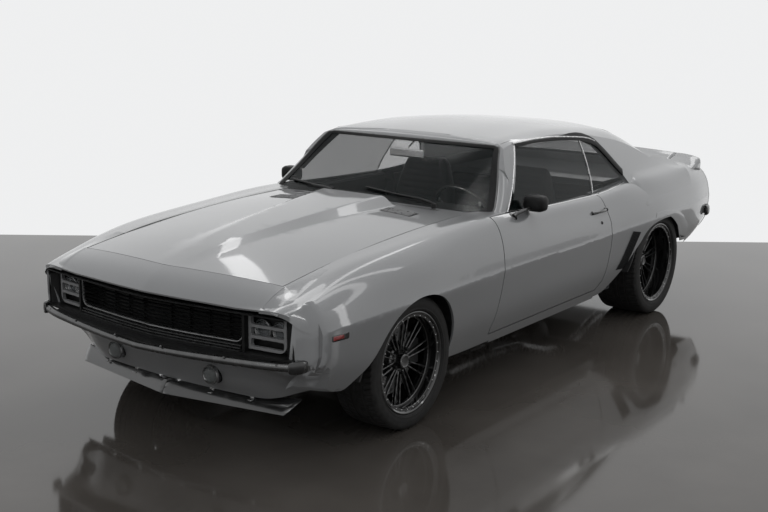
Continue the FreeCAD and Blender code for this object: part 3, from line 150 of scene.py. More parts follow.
paint = finish_of("paint_grey", (0.172, 0.174, 0.175), (0.181, 0.183, 0.184), 0.30, grain=3.0, spread=0.02,
                  bump=(0.012, 0.0002), Coat_Weight=1.0, Coat_Roughness=0.05, Coat_IOR=1.55)
black_gloss = finish_of("black_gloss", 0.006, 0.009, 0.16, grain=12, spread=0.03, bump=FINE, Coat_Weight=0.6,
                        Coat_Roughness=0.04)
black_satin = finish_of("black_satin", 0.008, 0.014, 0.36, grain=40, spread=0.06, Specular_IOR_Level=0.14)
black_matt = finish_of("black_matt", 0.012, 0.02, 0.6, grain=70, bump=(0.2, 0.0005), Specular_IOR_Level=0.22)
cover_grey = finish_of("cover_grey", 0.17, 0.21, 0.38, grain=50)
underbody = finish_of("underbody", 0.02, 0.045, 0.62, grain=25, bump=(0.3, 0.001))
chassis = finish_of("chassis_satin", 0.016, 0.03, 0.45, grain=30)
iron = finish_of("cast_block", 0.05, 0.09, 0.6, metal=0.5, bump=(0.4, 0.001))
wheel_black = finish_of("wheel_black", 0.004, 0.007, 0.14, grain=14, spread=0.03, bump=FINE, Coat_Weight=0.8,
                        Coat_Roughness=0.03)
rubber = finish_of("tyre_rubber", (0.01236, 0.012, 0.01164), (0.02472, 0.024, 0.02328), 0.62, grain=35,
                   spread=0.08, bump=(0.12, 0.0004), Specular_IOR_Level=0.22)
seal = finish_of("seal_rubber", 0.005, 0.009, 0.5, grain=80, Specular_IOR_Level=0.12)
chrome = finish_of("chrome_bright", 0.80, 0.86, 0.05, metal=1.0, grain=9, spread=0.02, bump=(0.004, 0.0002))
steel = finish_of("brushed_steel", 0.40, 0.52, 0.26, metal=1.0, grain=30, spread=0.08)
disc_steel = finish_of("disc_steel", 0.30, 0.42, 0.30, metal=1.0, grain=45, spread=0.08)
leather = finish_of("leather_black", (0.009, 0.008, 0.008), (0.018, 0.016, 0.015), 0.42, grain=45,
                    spread=0.07, bump=(0.25, 0.0006), Specular_IOR_Level=0.3)
relief(leather, add_texture(leather, CELLS, 420.0), 0.2, 0.0006, "Distance")
carpet = finish_of("carpet_black", 0.008, 0.020, 0.9, grain=160, bump=(0.7, 0.002), Specular_IOR_Level=0.22)
dash_skin = finish_of("dash_skin", 0.012, 0.020, 0.5, bump=(0.25, 0.0005))
lens_red = finish_of("lens_red", (0.16, 0.004, 0.004), (0.30, 0.010, 0.008), 0.12, grain=30, spread=0.03,
                     Coat_Weight=0.6)
relief(lens_red, add_texture(lens_red, CELLS, 160.0), 0.35, 0.001, "Distance")
bumper_black = finish_of("bumper_black", 0.10, 0.13, 0.25, metal=0.9, grain=26)
splitter_black = finish_of("splitter_black", 0.012, 0.02, 0.22, grain=18, Coat_Weight=0.8,
                           Coat_Roughness=0.08)
trim_grey = finish_of("trim_grey", 0.16, 0.24, 0.30, metal=0.6, grain=40)
trim_dark = finish_of("trim_dark", 0.06, 0.09, 0.30, metal=0.6, grain=40)
mark_white = finish_of("mark_white", 0.55, 0.65, 0.5, grain=50)
lamp_back = finish_of("lamp_reflector", 0.10, 0.18, 0.15, metal=0.9, grain=30)
glass = clear("window_glass", (0.010, 0.014, 0.014), 0.06, 0.24)
glass_dark = clear("window_glass_side", (0.008, 0.012, 0.012), 0.03, 0.42)
lens_clear = clear("lens_clear", (0.22, 0.23, 0.235), 0.04, 0.30)
lens_ribbed = clear("lens_ribbed", (0.16, 0.17, 0.165), 0.08, 0.60)
relief(lens_ribbed, add_texture(lens_ribbed, WAVE, 60.0, detail=0.0), 0.6, 0.002)


# Curves and shares
def spread(low, high, count):
    return [low + (high - low) * i / (count - 1) for i in range(count)]


def turns(count):
    """Angles at even steps round a full turn."""
    return [2 * math.pi * k / count for k in range(count)]


def mix(a, b, t):
    return a + (b - a) * t


def mix2(a, b, t):
    return (mix(a[0], b[0], t), mix(a[1], b[1], t))


def arc3(a, c, b, t):
    """A point of the curve from a to b that is drawn towards c."""
    return a * (1 - t) ** 2 + c * 2 * t * (1 - t) + b * t * t


def straight(t):
    return min(1.0, max(0.0, t))


def eased(t):
    t = straight(t)
    return t * t * (3 - 2 * t)


def squared(v, power):
    """A sine or cosine pushed outwards, which turns a circle into a rounded square."""
    return math.copysign(abs(v) ** power, v)


def halved(low, high, holds):
    """The last place between low and high where the test holds."""
    for _ in range(24):
        mid = (low + high) / 2
        low, high = (mid, high) if holds(mid) else (low, mid)
    return low


def natural(rows):
    """A natural cubic spline through (s, a, b, ...) rows, as a function of s that gives an array."""
    s = np.array([row[0] for row in rows], float)
    v = np.array([row[1:] for row in rows], float)
    n = len(s)
    h = np.diff(s)
    matrix = np.eye(n)
    rhs = np.zeros_like(v)
    for i in range(1, n - 1):
        matrix[i, i - 1:i + 2] = h[i - 1], 2 * (h[i - 1] + h[i]), h[i]
        rhs[i] = 6 * ((v[i + 1] - v[i]) / h[i] - (v[i] - v[i - 1]) / h[i - 1])
    bend = np.linalg.solve(matrix, rhs)

    def value(x):
        i = min(max(int(np.searchsorted(s, x, side="left")) - 1, 0), n - 2)
        a = (s[i + 1] - x) / h[i]
        b = 1 - a
        return (a * v[i] + b * v[i + 1]
                + ((a ** 3 - a) * bend[i] + (b ** 3 - b) * bend[i + 1]) * h[i] ** 2 / 6)

    return value


# Mesh building
def raw_mesh(name, form, weld=True):
    """A mesh of the form's vertices and faces, all faces turned outwards."""
    mesh = bpy.data.meshes.new(name)
    mesh.from_pydata([tuple(v) for v in form.verts], [], form.faces)
    b = bmesh.new()
    b.from_mesh(mesh)
    if weld:
        bmesh.ops.remove_doubles(b, verts=b.verts, dist=WELD)
    bmesh.ops.recalc_face_normals(b, faces=b.faces)
    b.to_mesh(mesh)
    b.free()
    return mesh


def linked(name, data):
    obj = bpy.data.objects.new(name, data)
    bpy.context.collection.objects.link(obj)
    return obj


def applied(obj):
    """Replaces the object's mesh by the one its modifiers give."""
    if not obj.modifiers:
        return
    graph = bpy.context.evaluated_depsgraph_get()
    graph.update()
    mesh = bpy.data.meshes.new_from_object(obj.evaluated_get(graph), depsgraph=graph)
    obj.modifiers.clear()
    obj.data = mesh


class Form:
    """Vertices and faces gathered for one piece."""

    def __init__(self):
        self.verts = []
        self.faces = []

    def grid(self, rows, closed=False):
        """Faces between rows of points; closed joins each row's last point to its first."""
        base, n = len(self.verts), len(rows[0])
        for row in rows:
            self.verts.extend(tuple(p) for p in row)
        for i in range(len(rows) - 1):
            here, there = base + i * n, base + (i + 1) * n
            for j in range(n if closed else n - 1):
                k = (j + 1) % n
                self.faces.append((here + j, here + k, there + k, there + j))
        return self

    def fan(self, ring):
        base = len(self.verts)
        self.verts.extend(tuple(p) for p in ring)
        self.faces.append(tuple(range(base, base + len(ring))))
        return self

    def loft(self, rings):
        """A solid through closed rings, with a flat face at both ends."""
        return self.grid(rings, closed=True).fan(rings[0][::-1]).fan(rings[-1])

    def lathe(self, profile, centre=ORIGIN, count=96, axis="x"):
        """A profile of (along, radius) turned about the x or y axis through centre."""
        rows = []
        for a in turns(count):
            c, s = math.cos(a), math.sin(a)
            turned = [(u, r * s, r * c) if axis == "x" else (r * s, u, r * c) for u, r in profile]
            rows.append([tuple(p + q for p, q in zip(centre, point)) for point in turned])
        return self.grid(rows + [rows[0]])

    def tube(self, path, radius, sides=10):
        """A round bar along the points; radius is one number or one for each point."""
        points = [Vector(p) for p in path]
        radii = radius if isinstance(radius, (list, tuple)) else [radius] * len(points)
        side = None
        rings = []
        for i, p in enumerate(points):
            t = (points[min(i + 1, len(points) - 1)] - points[max(i - 1, 0)]).normalized()
            side = side or t.orthogonal().normalized()
            side = (side - t * side.dot(t)).normalized()
            up = t.cross(side)
            rings.append([p + (side * math.cos(a) + up * math.sin(a)) * radii[i] for a in turns(sides)])
        return self.loft(rings)

    def slab(self, outline, back):
        """A plate: the outline, its copy moved by back, and the wall between them."""
        front = [Vector(p) for p in outline]
        rear = [p + Vector(back) for p in front]
        return self.grid([front + [front[0]], rear + [rear[0]]]).fan(front[::-1]).fan(rear)

    def block(self, x0, x1, y0, y1, z0, z1):
        return self.slab([(x0, y0, z0), (x1, y0, z0), (x1, y0, z1), (x0, y0, z1)], (0, y1 - y0, 0))

    def add(self, other):
        base = len(self.verts)
        self.verts.extend(other.verts)
        self.faces.extend(tuple(base + i for i in f) for f in other.faces)
        return self

    def moved(self, place, flip=False):
        """A copy with each vertex put through place, its faces turned over where place mirrors."""
        out = Form()
        out.verts = [tuple(place(v)) for v in self.verts]
        out.faces = [f[::-1] for f in self.faces] if flip else list(self.faces)
        return out

    def mirrored(self):
        return self.moved(lambda v: (-v[0], v[1], v[2]), flip=True)

    def with_mirror(self):
        return self.add(self.mirrored())

    def on_side(self, sign):
        """The form itself on the car's left, its mirror image on the right."""
        return self if sign > 0 else self.mirrored()

    def piece(self, name, slot, material, body="root", bevel=0.0, replaces=(), segments=2, angle=35):
        """Makes the object: its edges rounded, smooth up to the angle, on its body. The slot is not used."""
        mesh = raw_mesh(name, self)
        mesh.materials.append(material)
        obj = linked(name, mesh)
        if bevel:
            mod = obj.modifiers.new("Edge", "BEVEL")
            mod.width = bevel
            mod.segments = segments
            mod.limit_method = "ANGLE"
            mod.angle_limit = math.radians(angle)
            mod.harden_normals = True
        applied(obj)
        obj.data.shade_smooth()
        obj.data.set_sharp_from_angle(angle=math.radians(angle))
        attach(obj, body)
        if replaces:
            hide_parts(*replaces)
        return obj


def pair(form, *args, **settings):
    """One piece of the form and its mirror image."""
    return form.with_mirror().piece(*args, **settings)


def sided(table, side, sign, **settings):
    """A piece for this side of the car from each (name, form, slot, material) row of the table."""
    return [form.on_side(sign).piece(name + side, slot, material, **settings)
            for name, form, slot, material in table]


# Master surfaces of the body, the same curves as the solids have, in millimetres here
# Each row of the side is y and then x, z of nine points from the crown down to the sill
SIDE_ROWS = [
    (-2320, 642, 668, 722, 662, 782, 650, 818, 622, 836, 586, 839, 566, 837, 512, 827, 446, 801, 380),
    (-2210, 642, 722, 722, 716, 790, 700, 834, 664, 855, 618, 860, 592, 858, 530, 848, 450, 822, 372),
    (-2073, 642, 768, 724, 758, 806, 736, 862, 688, 884, 634, 889, 608, 887, 530, 876, 440, 846, 352),
    (-1860, 642, 815, 742, 812, 836, 776, 888, 706, 910, 648, 915, 622, 912, 530, 902, 420, 868, 318),
    (-1432, 642, 862, 776, 862, 876, 806, 912, 722, 927, 656, 932, 628, 926, 540, 912, 420, 876, 300),
    (-1050, 642, 886, 786, 884, 872, 818, 904, 724, 916, 652, 920, 624, 913, 530, 896, 400, 848, 268),
    (-640, 642, 897, 790, 902, 866, 826, 897, 724, 908, 650, 911, 622, 905, 520, 889, 390, 840, 260),
    (-100, 642, 896, 806, 882, 861, 812, 894, 722, 905, 646, 907, 618, 901, 510, 886, 385, 838, 258),
    (350, 642, 886, 808, 870, 862, 803, 894, 718, 905, 643, 907, 614, 901, 510, 886, 385, 838, 258),
    (600, 642, 884, 808, 867, 866, 803, 898, 718, 910, 645, 912, 617, 906, 512, 890, 388, 840, 260),
    (900, 642, 898, 800, 884, 870, 826, 909, 732, 921, 656, 925, 628, 918, 520, 903, 400, 852, 280),
    (1311, 650, 912, 756, 908, 862, 838, 918, 744, 935, 668, 940, 640, 934, 545, 920, 430, 882, 330),
    (1700, 612, 912, 740, 906, 850, 836, 903, 748, 919, 674, 924, 646, 917, 556, 902, 452, 862, 362),
    (2000, 601, 897, 728, 890, 830, 830, 878, 748, 894, 672, 898, 646, 891, 560, 876, 468, 832, 392),
    (2262, 601, 880, 716, 870, 796, 816, 836, 742, 850, 670, 853, 645, 848, 572, 832, 496, 790, 424),
]
ROOF_X = (0, 300, 480, 580, 645)
ROOF_ROWS = [
    (-320, 1226, 1224, 1216, 1204, 1178),
    (-170, 1246, 1243, 1236, 1226, 1202),
    (100, 1268, 1264, 1254, 1240, 1212),
    (400, 1276, 1272, 1259, 1242, 1212),
    (700, 1268, 1262, 1245, 1222, 1188),
    (1000, 1245, 1238, 1216, 1186, 1142),
    (1280, 1200, 1193, 1171, 1138, 1094),
    (1500, 1110, 1105, 1087, 1062, 1030),
    (1700, 1000, 997, 985, 968, 946),
    (1880, 892, 891, 886, 880, 872),
]
CABIN_Z = (1290, 1200, 1060, 960, 905, 860)
CABIN_ROWS = [
    (-800, 562, 628, 716, 764, 784, 795),
    (0, 566, 632, 720, 768, 788, 799),
    (600, 562, 628, 717, 767, 790, 802),
    (900, 538, 604, 700, 757, 792, 826),
    (1250, 510, 572, 672, 740, 798, 866),
    (1600, 482, 540, 642, 720, 788, 866),
    (1880, 460, 515, 612, 696, 776, 862),
]
SHIELD_X = (0, 300, 550, 700, 850)
SHIELD_ROWS = [
    (840, -786, -764, -699, -632, -548),
    (905, -690, -668, -605, -540, -460),
    (1070, -440, -424, -384, -340, -282),
    (1235, -172, -173, -182, -200, -232),
    (1310, -48, -54, -76, -106, -152),
]
HOOD_ROWS = [(-2160, 803, 33), (-1860, 853, 38), (-1432, 894, 33), (-1050, 916, 30), (-600, 930, 33)]
DECK_ROWS = [(1640, 934, 24), (1900, 926, 24), (2100, 915, 24), (2262, 900, 20)]
NOSE_PLAN = [(0, -2306), (200, -2292), (400, -2268), (600, -2243), (740, -2224), (800, -2209),
             (838, -2176), (866, -2110)]
BUMPER_PLAN = [(0, -2360), (200, -2343), (400, -2313), (600, -2277), (720, -2250), (792, -2226),
               (832, -2196), (850, -2160)]
TAIL_PLAN = [(0, 2360), (300, 2354), (600, 2334), (780, 2304), (856, 2268), (888, 2210), (894, 2160)]
HOOD_HALF_W, LID_HALF_W, NOSE_TOP_Z, PANEL_GAP = 640, 596, 710, 6
HOOD_POINT_Y, HOOD_CORNER_Y = -2156, -2073
CREASE = 4.5

side_curve, roof_curve, cabin_curve = natural(SIDE_ROWS), natural(ROOF_ROWS), natural(CABIN_ROWS)
shield_curve, hood_curve, deck_curve = natural(SHIELD_ROWS), natural(HOOD_ROWS), natural(DECK_ROWS)
nose_curve, bumper_curve = natural(NOSE_PLAN), natural(BUMPER_PLAN)


def side_knots(y):
    flat = side_curve(y)
    return [(k, flat[2 * k], flat[2 * k + 1]) for k in range(9)]


def side_at(y, z):
    """Half-width in metres of the body side at (y, z) in millimetres, below its crown."""
    section = natural(side_knots(y))
    return section(halved(1.0, 8.0, lambda t: section(t)[1] > z))[0] * MM


def shoulder_z(x, y):
    """Height of the body side's top at the half-width x, inwards of its widest point."""
    section = natural(side_knots(y))
    return section(halved(0.0, 4.0, lambda t: section(t)[0] < x))[1]


def across(knots, values, x):
    return natural(list(zip(knots, values)))(x)[0]


def roof_z(x, y):
    heights = roof_curve(y)
    past = abs(x) - ROOF_X[-1]
    if past > 0:
        return heights[-1] - (heights[-2] - heights[-1]) / (ROOF_X[-1] - ROOF_X[-2]) * past
    return across(ROOF_X, heights, abs(x))


def cabin_x(y, z):
    return across([-a for a in CABIN_Z], cabin_curve(y), -z)


def shield_y(x, z):
    return across(SHIELD_X, shield_curve(z), abs(x))


def hood_bulge(x, y, ramp=eased):
    """The raised middle of the hood, which grows from the point of the nose to the cowl."""
    s = straight((y + 2150) / 1400)
    return 44 * s * ramp((34 + 170 * s + 80 - abs(x)) / 80)


def low_hood_z(x, y):
    """Height of the hood without its raised middle."""
    z, drop = hood_curve(y)
    return z - drop * (x / HOOD_HALF_W) ** 2


def hood_z(x, y):
    return low_hood_z(x, y) + hood_bulge(x, y)


def crisp_hood_z(x, y):
    return low_hood_z(x, y) + hood_bulge(x, y, straight)


def hood_front_y(x):
    return HOOD_POINT_Y + (HOOD_CORNER_Y - HOOD_POINT_Y) * (x / HOOD_HALF_W) ** 1.3


def deck_z(x, y):
    z, drop = deck_curve(y)
    return z - drop * (x / LID_HALF_W) ** 2


def nose_y(x):
    return nose_curve(abs(x))[0]


def bumper_y(x):
    return bumper_curve(abs(x))[0]


def header_point(x, s):
    """The panel between hood and grille: s runs from the hood's edge to the nose."""
    y0, y1 = hood_front_y(abs(x)) - PANEL_GAP, nose_y(x)
    z0, z1 = hood_z(x, y0), NOSE_TOP_Z - 8 * (x / HOOD_HALF_W) ** 2
    return (x * MM, mix(y0, y1, s) * MM, (z0 + (z1 - z0) * (0.55 * s + 0.45 * s ** 3)) * MM)


def crisp_side(sign, upper):
    """Half of the side's surface, above or below the crease, which meets the other half at an edge."""
    rows = []
    for y in spread(-2320, 2262, 230):
        points = side_knots(y)
        middle = (CREASE, (points[4][1] + points[5][1]) / 2 + 1.5, (points[4][2] + points[5][2]) / 2)
        section = natural(points[:5] + [middle] if upper else [middle] + points[5:])
        ends = (0, CREASE) if upper else (CREASE, 8)
        rows.append([mm(sign * section(t)[0], y, section(t)[1]) for t in spread(*ends, 55)])
    return rows


def raised(height, half_w, columns, y0, y1, count):
    """Rows of points over a rectangle of the plan, at the height that the function gives."""
    return [[mm(x, y, height(x, y)) for x in spread(-half_w, half_w, columns)] for y in spread(y0, y1, count)]


def master(rows):
    """A search tree and corner normals of a dense smooth grid of points."""
    form = Form().grid(rows)
    mesh = bpy.data.meshes.new("master")
    mesh.from_pydata(form.verts, [], form.faces)
    corner = np.zeros(len(mesh.vertices) * 3, np.float32)
    mesh.vertex_normals.foreach_get("vector", corner)
    tree = BVHTree.FromPolygons(form.verts, form.faces)
    bpy.data.meshes.remove(mesh)
    return tree, [Vector(v) for v in form.verts], form.faces, corner.reshape(-1, 3)


cabin_side = [[mm(cabin_x(y, z), y, z) for z in spread(1290, 860, 44)] for y in spread(-800, 1880, 100)]
master_rows = {
    "side": [crisp_side(sign, upper) for _, sign in SIDES for upper in (True, False)],
    "roof": [raised(roof_z, 860, 121, -320, 1880, 111), cabin_side,
             [[(-x, y, z) for x, y, z in row] for row in cabin_side]],
    "hood": [raised(crisp_hood_z, 660, 221, -2200, -600, 121)],
    "header": [[[header_point(sign * x, t) for x in spread(0, 640, 41)] for t in spread(0, 1, 21)]
               for _, sign in SIDES],
    "deck": [raised(deck_z, 616, 41, 1700, 2282, 41)],
}
masters = {group: [master(rows) for rows in surfaces] for group, surfaces in master_rows.items()}


def corner_normal(point, flat):
    """The normal of the rounded corner between the nose and the side."""
    share = eased((point.y + 2.212) / 0.150)
    n = Vector((0.33, -0.944, 0.0)).lerp(Vector((0.985, -0.17, 0.0)), share)
    n.z = 0.10 + 0.45 * max(0.0, (point.z - 0.60) / 0.12)
    n.x = math.copysign(n.x, point.x)
    n.normalize()
    return n if n.dot(flat) > 0.72 else None


def master_normal(group, point, flat):
    """The smooth normal of the group's nearest surface where the flat normal agrees with it."""
    if group == "side" and point.y < -2.072 and abs(point.x) > 0.79:
        rounded = corner_normal(point, flat)
        if rounded:
            return rounded
    best = None
    for tree, verts, faces, corner in masters[group]:
        hit, _, index, gap = tree.find_nearest(point, 0.022)
        if hit is None:
            continue
        corners = faces[index]
        weights = poly_3d_calc([verts[i] for i in corners], hit)
        n = Vector(ORIGIN)
        for w, i in zip(weights, corners):
            n += Vector(corner[i]) * w
        n.normalize()
        agree = n.dot(flat)
        miss = 1 - abs(agree) + (0.3 if gap > 0.004 and agree > 0 else 0)
        if abs(agree) > 0.90 and (best is None or miss < best[0]):
            best = (miss, n if agree > 0 else -n)
    if not best:
        return flat
    n = best[1]
    if group == "side" and n.z > 0.85 and point.y < -0.56:
        inner = eased((0.775 - abs(point.x)) / 0.10)
        n = n.lerp(Vector((math.copysign(0.10, point.x), -0.04, 1.0)), inner).normalized()
    return n


def tuck(mesh):
    """Draws the lower front corners of the nose inwards under the bumper."""
    for v in mesh.vertices:
        share = eased((-1.96 - v.co.y) / 0.26) * eased((0.52 - v.co.z) / 0.13)
        share *= eased((abs(v.co.x) - 0.45) / 0.4)
        left = v.co.x > 0
        v.co.x -= math.copysign(0.085 * share, v.co.x)
        v.co.y += (0.040 if left else 0.100) * share
        v.co.z += (0 if left else 0.020) * share


def lift_lips(mesh):
    """Draws up the low rear corners of the wheelhouses, so that they end behind the quarter panels."""
    for v in mesh.vertices:
        if v.co.y > 1.55 and v.co.z < 0.46 and abs(v.co.x) > 0.80:
            v.co.z = 0.46 + 0.05 * (v.co.z - 0.46)


# The rear wheel's opening ahead of the tyre, as (y, z)
OPENING = [(1090, 600), (1061, 572), (1000, 530), (925, 478), (810, 387), (735, 322), (655, 268), (600, 240),
           (600, 120), (1020, 120), (1020, 470)]


def cut_opening(obj):
    """Cuts the slanting front edge of the rear wheel's opening out of a copied panel."""
    for sign in (-1, 1):
        prism = Form().slab([(sign * 0.80, y * MM, z * MM) for y, z in OPENING], (sign * 0.20, 0, 0))
        cutter = linked("cutter", raw_mesh("cutter", prism, weld=False))
        cut = obj.modifiers.new("cut", "BOOLEAN")
        cut.operation = "DIFFERENCE"
        cut.solver = "EXACT"
        cut.object = cutter
        applied(obj)
        bpy.data.objects.remove(cutter)


def follow(mesh, group):
    """Gives the mesh the normals of a group of master surfaces, looked up once for each corner and facing."""
    mesh.shade_smooth()
    normals = [None] * len(mesh.loops)
    known = {}
    for polygon in mesh.polygons:
        flat = polygon.normal.copy()
        rounded = tuple(round(c, 2) for c in flat)
        for loop in polygon.loop_indices:
            v = mesh.loops[loop].vertex_index
            if (v, rounded) not in known:
                known[(v, rounded)] = master_normal(group, mesh.vertices[v].co, flat)
            normals[loop] = known[(v, rounded)]
    mesh.normals_split_custom_set(normals)


def refinish(mesh, material):
    mesh.materials.clear()
    mesh.materials.append(material)


def panel(node, material, group=None):
    """A copy of a packed panel that carries the normals of a group of master surfaces."""
    obj = linked("skin_" + node, frame["nodes"][node].data.copy())
    if node.startswith(("fender", "front_valance")):
        tuck(obj.data)
    if node == "rear_tubs":
        lift_lips(obj.data)
    if node.startswith(("quarter", "sills")):
        cut_opening(obj)
    refinish(obj.data, material)
    if group:
        follow(obj.data, group)
    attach(obj, body_of[node])
    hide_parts(node)


def both(name):
    return [name + side for side, _ in SIDES]


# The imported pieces: painted panels with master normals, the rest with better finishes
body_of = {node: body for body, members in frame["record"]["behaviour"]["bodies"].items() for node in members}
painted = [("roof", "roof"), ("hood", "hood"), ("cowl", "hood"), ("trunk_lid", "deck"),
           ("rear_spoiler", None), ("front_valance", None), ("tail_panel", None), ("sills", "side"),
           ("rear_deck", "deck")]
painted += [(part + side, "side") for side, _ in SIDES for part in ("fender_", "door_", "quarter_")]
for node, group in painted:
    panel(node, paint, group)
panel("rear_tubs", underbody)
finishes = [(rubber, both("tyre_front_") + both("tyre_rear_")),
            (wheel_black, both("wheel_front_") + both("wheel_rear_")),
            (glass, ["fixed_glass"]), (glass_dark, both("door_glass_")),
            (black_gloss, both("mirror_") + ["front_splitter"]),
            (black_satin, ["grille", "nose_frame", "front_bumper", "rear_bumper", "wipers", "steering_wheel",
                           "steering_column"]),
            (cover_grey, ["lamp_covers"]), (lens_clear, ["head_lamps"]), (lens_red, ["tail_lamps"]),
            (underbody, ["floor_pan", "firewall", "inner_fenders", "radiator"]),
            (chassis, ["subframe", "rear_axle", "fuel_tank"] + both("knuckle_")), (iron, ["engine"]),
            (dash_skin, ["dash"]), (chrome, ["inside_mirror"]), (leather, both("seat_") + ["rear_seat"])]
for material, nodes in finishes:
    for node in nodes:
        refinish(frame["nodes"][node].data, material)


# Tyres and wheels, built about their hubs with x outwards
def offsets(along, radius, *steps):
    """Points of a profile, from steps in millimetres off a place along the axis and off a radius."""
    return [(along + u * MM, radius + r * MM) for u, r in steps]


def tyre_form(out_x, width, r, rim_r, pitches=64):
    """A low tyre: rounded shoulders, four ribs with sipes, shallow rings on the wall."""
    shoulder, groove = 0.024, 0.0065
    half, bead = width / 2, rim_r + 0.001
    mid = out_x - half
    tread = []
    for u in spread(-1, 1, 41):
        w = abs(u) * (half - shoulder * 0.7)
        in_groove = any(abs(abs(u) - g) < 0.028 for g in (0.17, 0.55))
        tread.append((math.copysign(w, u), r - 0.0035 * (abs(u) ** 2.2) - (groove if in_groove else 0), u))
    wall = offsets(half, bead, (-14.5, 0.5), (-6, 6), (-5.5, 10), (-2, 12))
    wall += [(half - 0.001 - 0.004 * abs(t - 0.45), mix(bead + 0.014, r - shoulder, t))
             for t in spread(0.0, 1.0, 9)]
    wall += offsets(half, r, (-6, -16), (-11, -9.5))
    profile = [(w, q, 2.0) for w, q in wall] + tread[::-1] + [(-w, q, -2.0) for w, q in reversed(wall)]
    rows = []
    for i, a in enumerate(turns(pitches * 4)):
        row = []
        for w, q, u in profile:
            deep = q
            if i % 4 == 0 and 0.62 < abs(u) <= 1.0:
                deep -= 0.005
            elif i % 4 == 0 and 0.24 < abs(u) < 0.50:
                deep -= 0.0035
            twist = 0.10 * (abs(u) - 0.6) if abs(u) <= 1.0 else 0.04
            row.append((mid + w, deep * math.sin(a + twist), deep * math.cos(a + twist)))
        rows.append(row)
    lip = offsets(mid + half, bead, (-14.5, 0.5), (-30, -0.5)) + offsets(mid - half, bead, (30, -0.5),
                                                                         (14.5, 0.5))
    return Form().grid(rows + [rows[0]]).lathe(lip)


def wheel_forms(out_x, width, rim_r, dish, reach, pairs=10):
    """The rim with its stepped lip, the spokes, the hub, the fasteners, the brake disc and its hat."""
    o, i = out_x - 0.010, out_x - width + 0.010
    bore, face = rim_r - 0.009, o - dish
    rim = Form().lathe(offsets(o, rim_r, (-12, 0), (-1, 0), (0, -2))
                       + offsets(o, bore, (0, 3), (-4, -3), (-9, -5), (-10, -17), (-13, -19), (-20, -18.5),
                                 (-26, -13))
                       + offsets(i, bore, (30, -14), (4, 0), (0, 3)) + offsets(i, rim_r, (0, -2), (12, 0),
                                                                               (30, -10))
                       + offsets(o, rim_r, (-24, -10), (-12, 0)), count=128)
    spokes = Form()
    for k in range(pairs):
        a = 2 * math.pi * (k + 0.25) / pairs
        c, n = math.cos(a), math.sin(a)
        for sign in (-1, 1):
            rows = []
            for s in spread(0, 1, 9):
                r = mix(0.050, bore - 0.013, s)
                deep = mix(face + 0.006, face + reach, s ** 1.5)
                wide = mix(0.0060, 0.0046, math.sin(math.pi * s))
                off = sign * mix(0.009, 0.021, s)
                thick = mix(0.024, 0.016, s)
                rows.append([(deep - d, off + wide * w, r) for d, w in
                             ((0, -0.55), (0.005, -1), (thick, -0.7), (thick, 0.7), (0.005, 1), (0, 0.55))])
            spokes.add(Form().loft(rows).moved(lambda v: (v[0], v[1] * c + v[2] * n, v[2] * c - v[1] * n)))
    step = offsets(face + reach + 0.003, bore, (-24, -10), (-24, -26), (-3, -26), (0, -23), (0, -16),
                   (-2, -10))
    spokes.lathe(step, count=128)
    hub = Form().lathe(offsets(face, 0, (-40, 78), (-10, 78), (-2, 72), (-2, 50), (-6, 47), (4, 40), (26, 36),
                               (29, 33), (30, 28.5), (28, 24), (29, 1)), count=64)
    nut = offsets(face, 0, (-4, 11.5), (1, 11.5), (1, 9.5), (18, 9), (21, 6), (21, 0.5))
    stud = offsets(o, 0, (-10.5, 3.6), (-6.5, 3.6), (-5.5, 2.8), (-5.5, 0.2))
    nuts, studs = Form(), Form()
    for form, profile, count, r, sides in ((nuts, nut, 5, 0.0603, 6), (studs, stud, 30, bore - 0.0125, 8)):
        for k in range(count):
            a = 2 * math.pi * (k + 0.5) / count
            form.lathe(profile, (0, r * math.sin(a), r * math.cos(a)), sides)
    back = face - 0.052
    disc = Form().lathe(offsets(back, 0, (0, 60), (0, 88), (-4, 90), (-4, 178), (-12, 178), (-12, 172),
                                (-20, 172), (-20, 178), (-32, 178), (-32, 60)))
    hat = Form().lathe(offsets(face, 0, (-38, 60), (-38, 84)) + offsets(back, 0, (0, 90), (0, 60)), count=48)
    return rim, spokes, hub, nuts, studs, disc, hat


for end, hub_at, sizes in (("front_", FRONT_HUB, (0.890, 0.245, 0.325, 0.248, 0.070, 0.012)),
                           ("rear_", REAR_HUB, (0.908, 0.305, 0.335, 0.256, 0.120, 0.014))):
    out_x, width, r, rim_r, dish, reach = sizes
    tyre = tyre_form(out_x, width, r, rim_r)
    rim, spokes, hub, nuts, studs, disc, hat = wheel_forms(out_x, width, rim_r, dish, reach)
    for side, sign in SIDES:
        tag = end + side
        for name, form, slot, material, more in (
                ("tread_", tyre, "tyre_rubber", rubber, {"angle": 28, "replaces": ["tyre_" + tag]}),
                ("rim_", rim, "wheel_black", wheel_black, {"angle": 30, "replaces": ["wheel_" + tag]}),
                ("spokes_", spokes, "wheel_black", wheel_black, {"bevel": 0.0012}),
                ("centre_", hub, "wheel_black", wheel_black, {"angle": 30}),
                ("nuts_", nuts, "steel_bare", black_satin, {}), ("studs_", studs, "steel_bare", steel, {}),
                ("disc_", disc, "steel_bare", disc_steel, {"angle": 30}),
                ("hat_", hat, "chassis_black", chassis, {"angle": 30})):
            placed = form.moved(lambda v: (sign * v[0], v[1] + hub_at[1], v[2] + hub_at[2]), flip=sign < 0)
            placed.piece(name + tag, slot, material, "wheel_" + tag, **more)


# Places on the body's surfaces, in metres from millimetres, with a lift off the surface
def cabin_place(y, z, lift):
    return mm(cabin_x(y, z) + lift, y, z)


def shield_place(x, z, lift):
    return mm(x, shield_y(x, z) - lift, z)


def roof_place(x, y, lift):
    return mm(x, y, roof_z(x, y) + lift)


def hood_place(x, y, lift):
    return mm(x, y, hood_z(x, y) + lift)


def side_place(y, z, lift):
    return (side_at(y, z) + lift * MM, y * MM, z * MM)


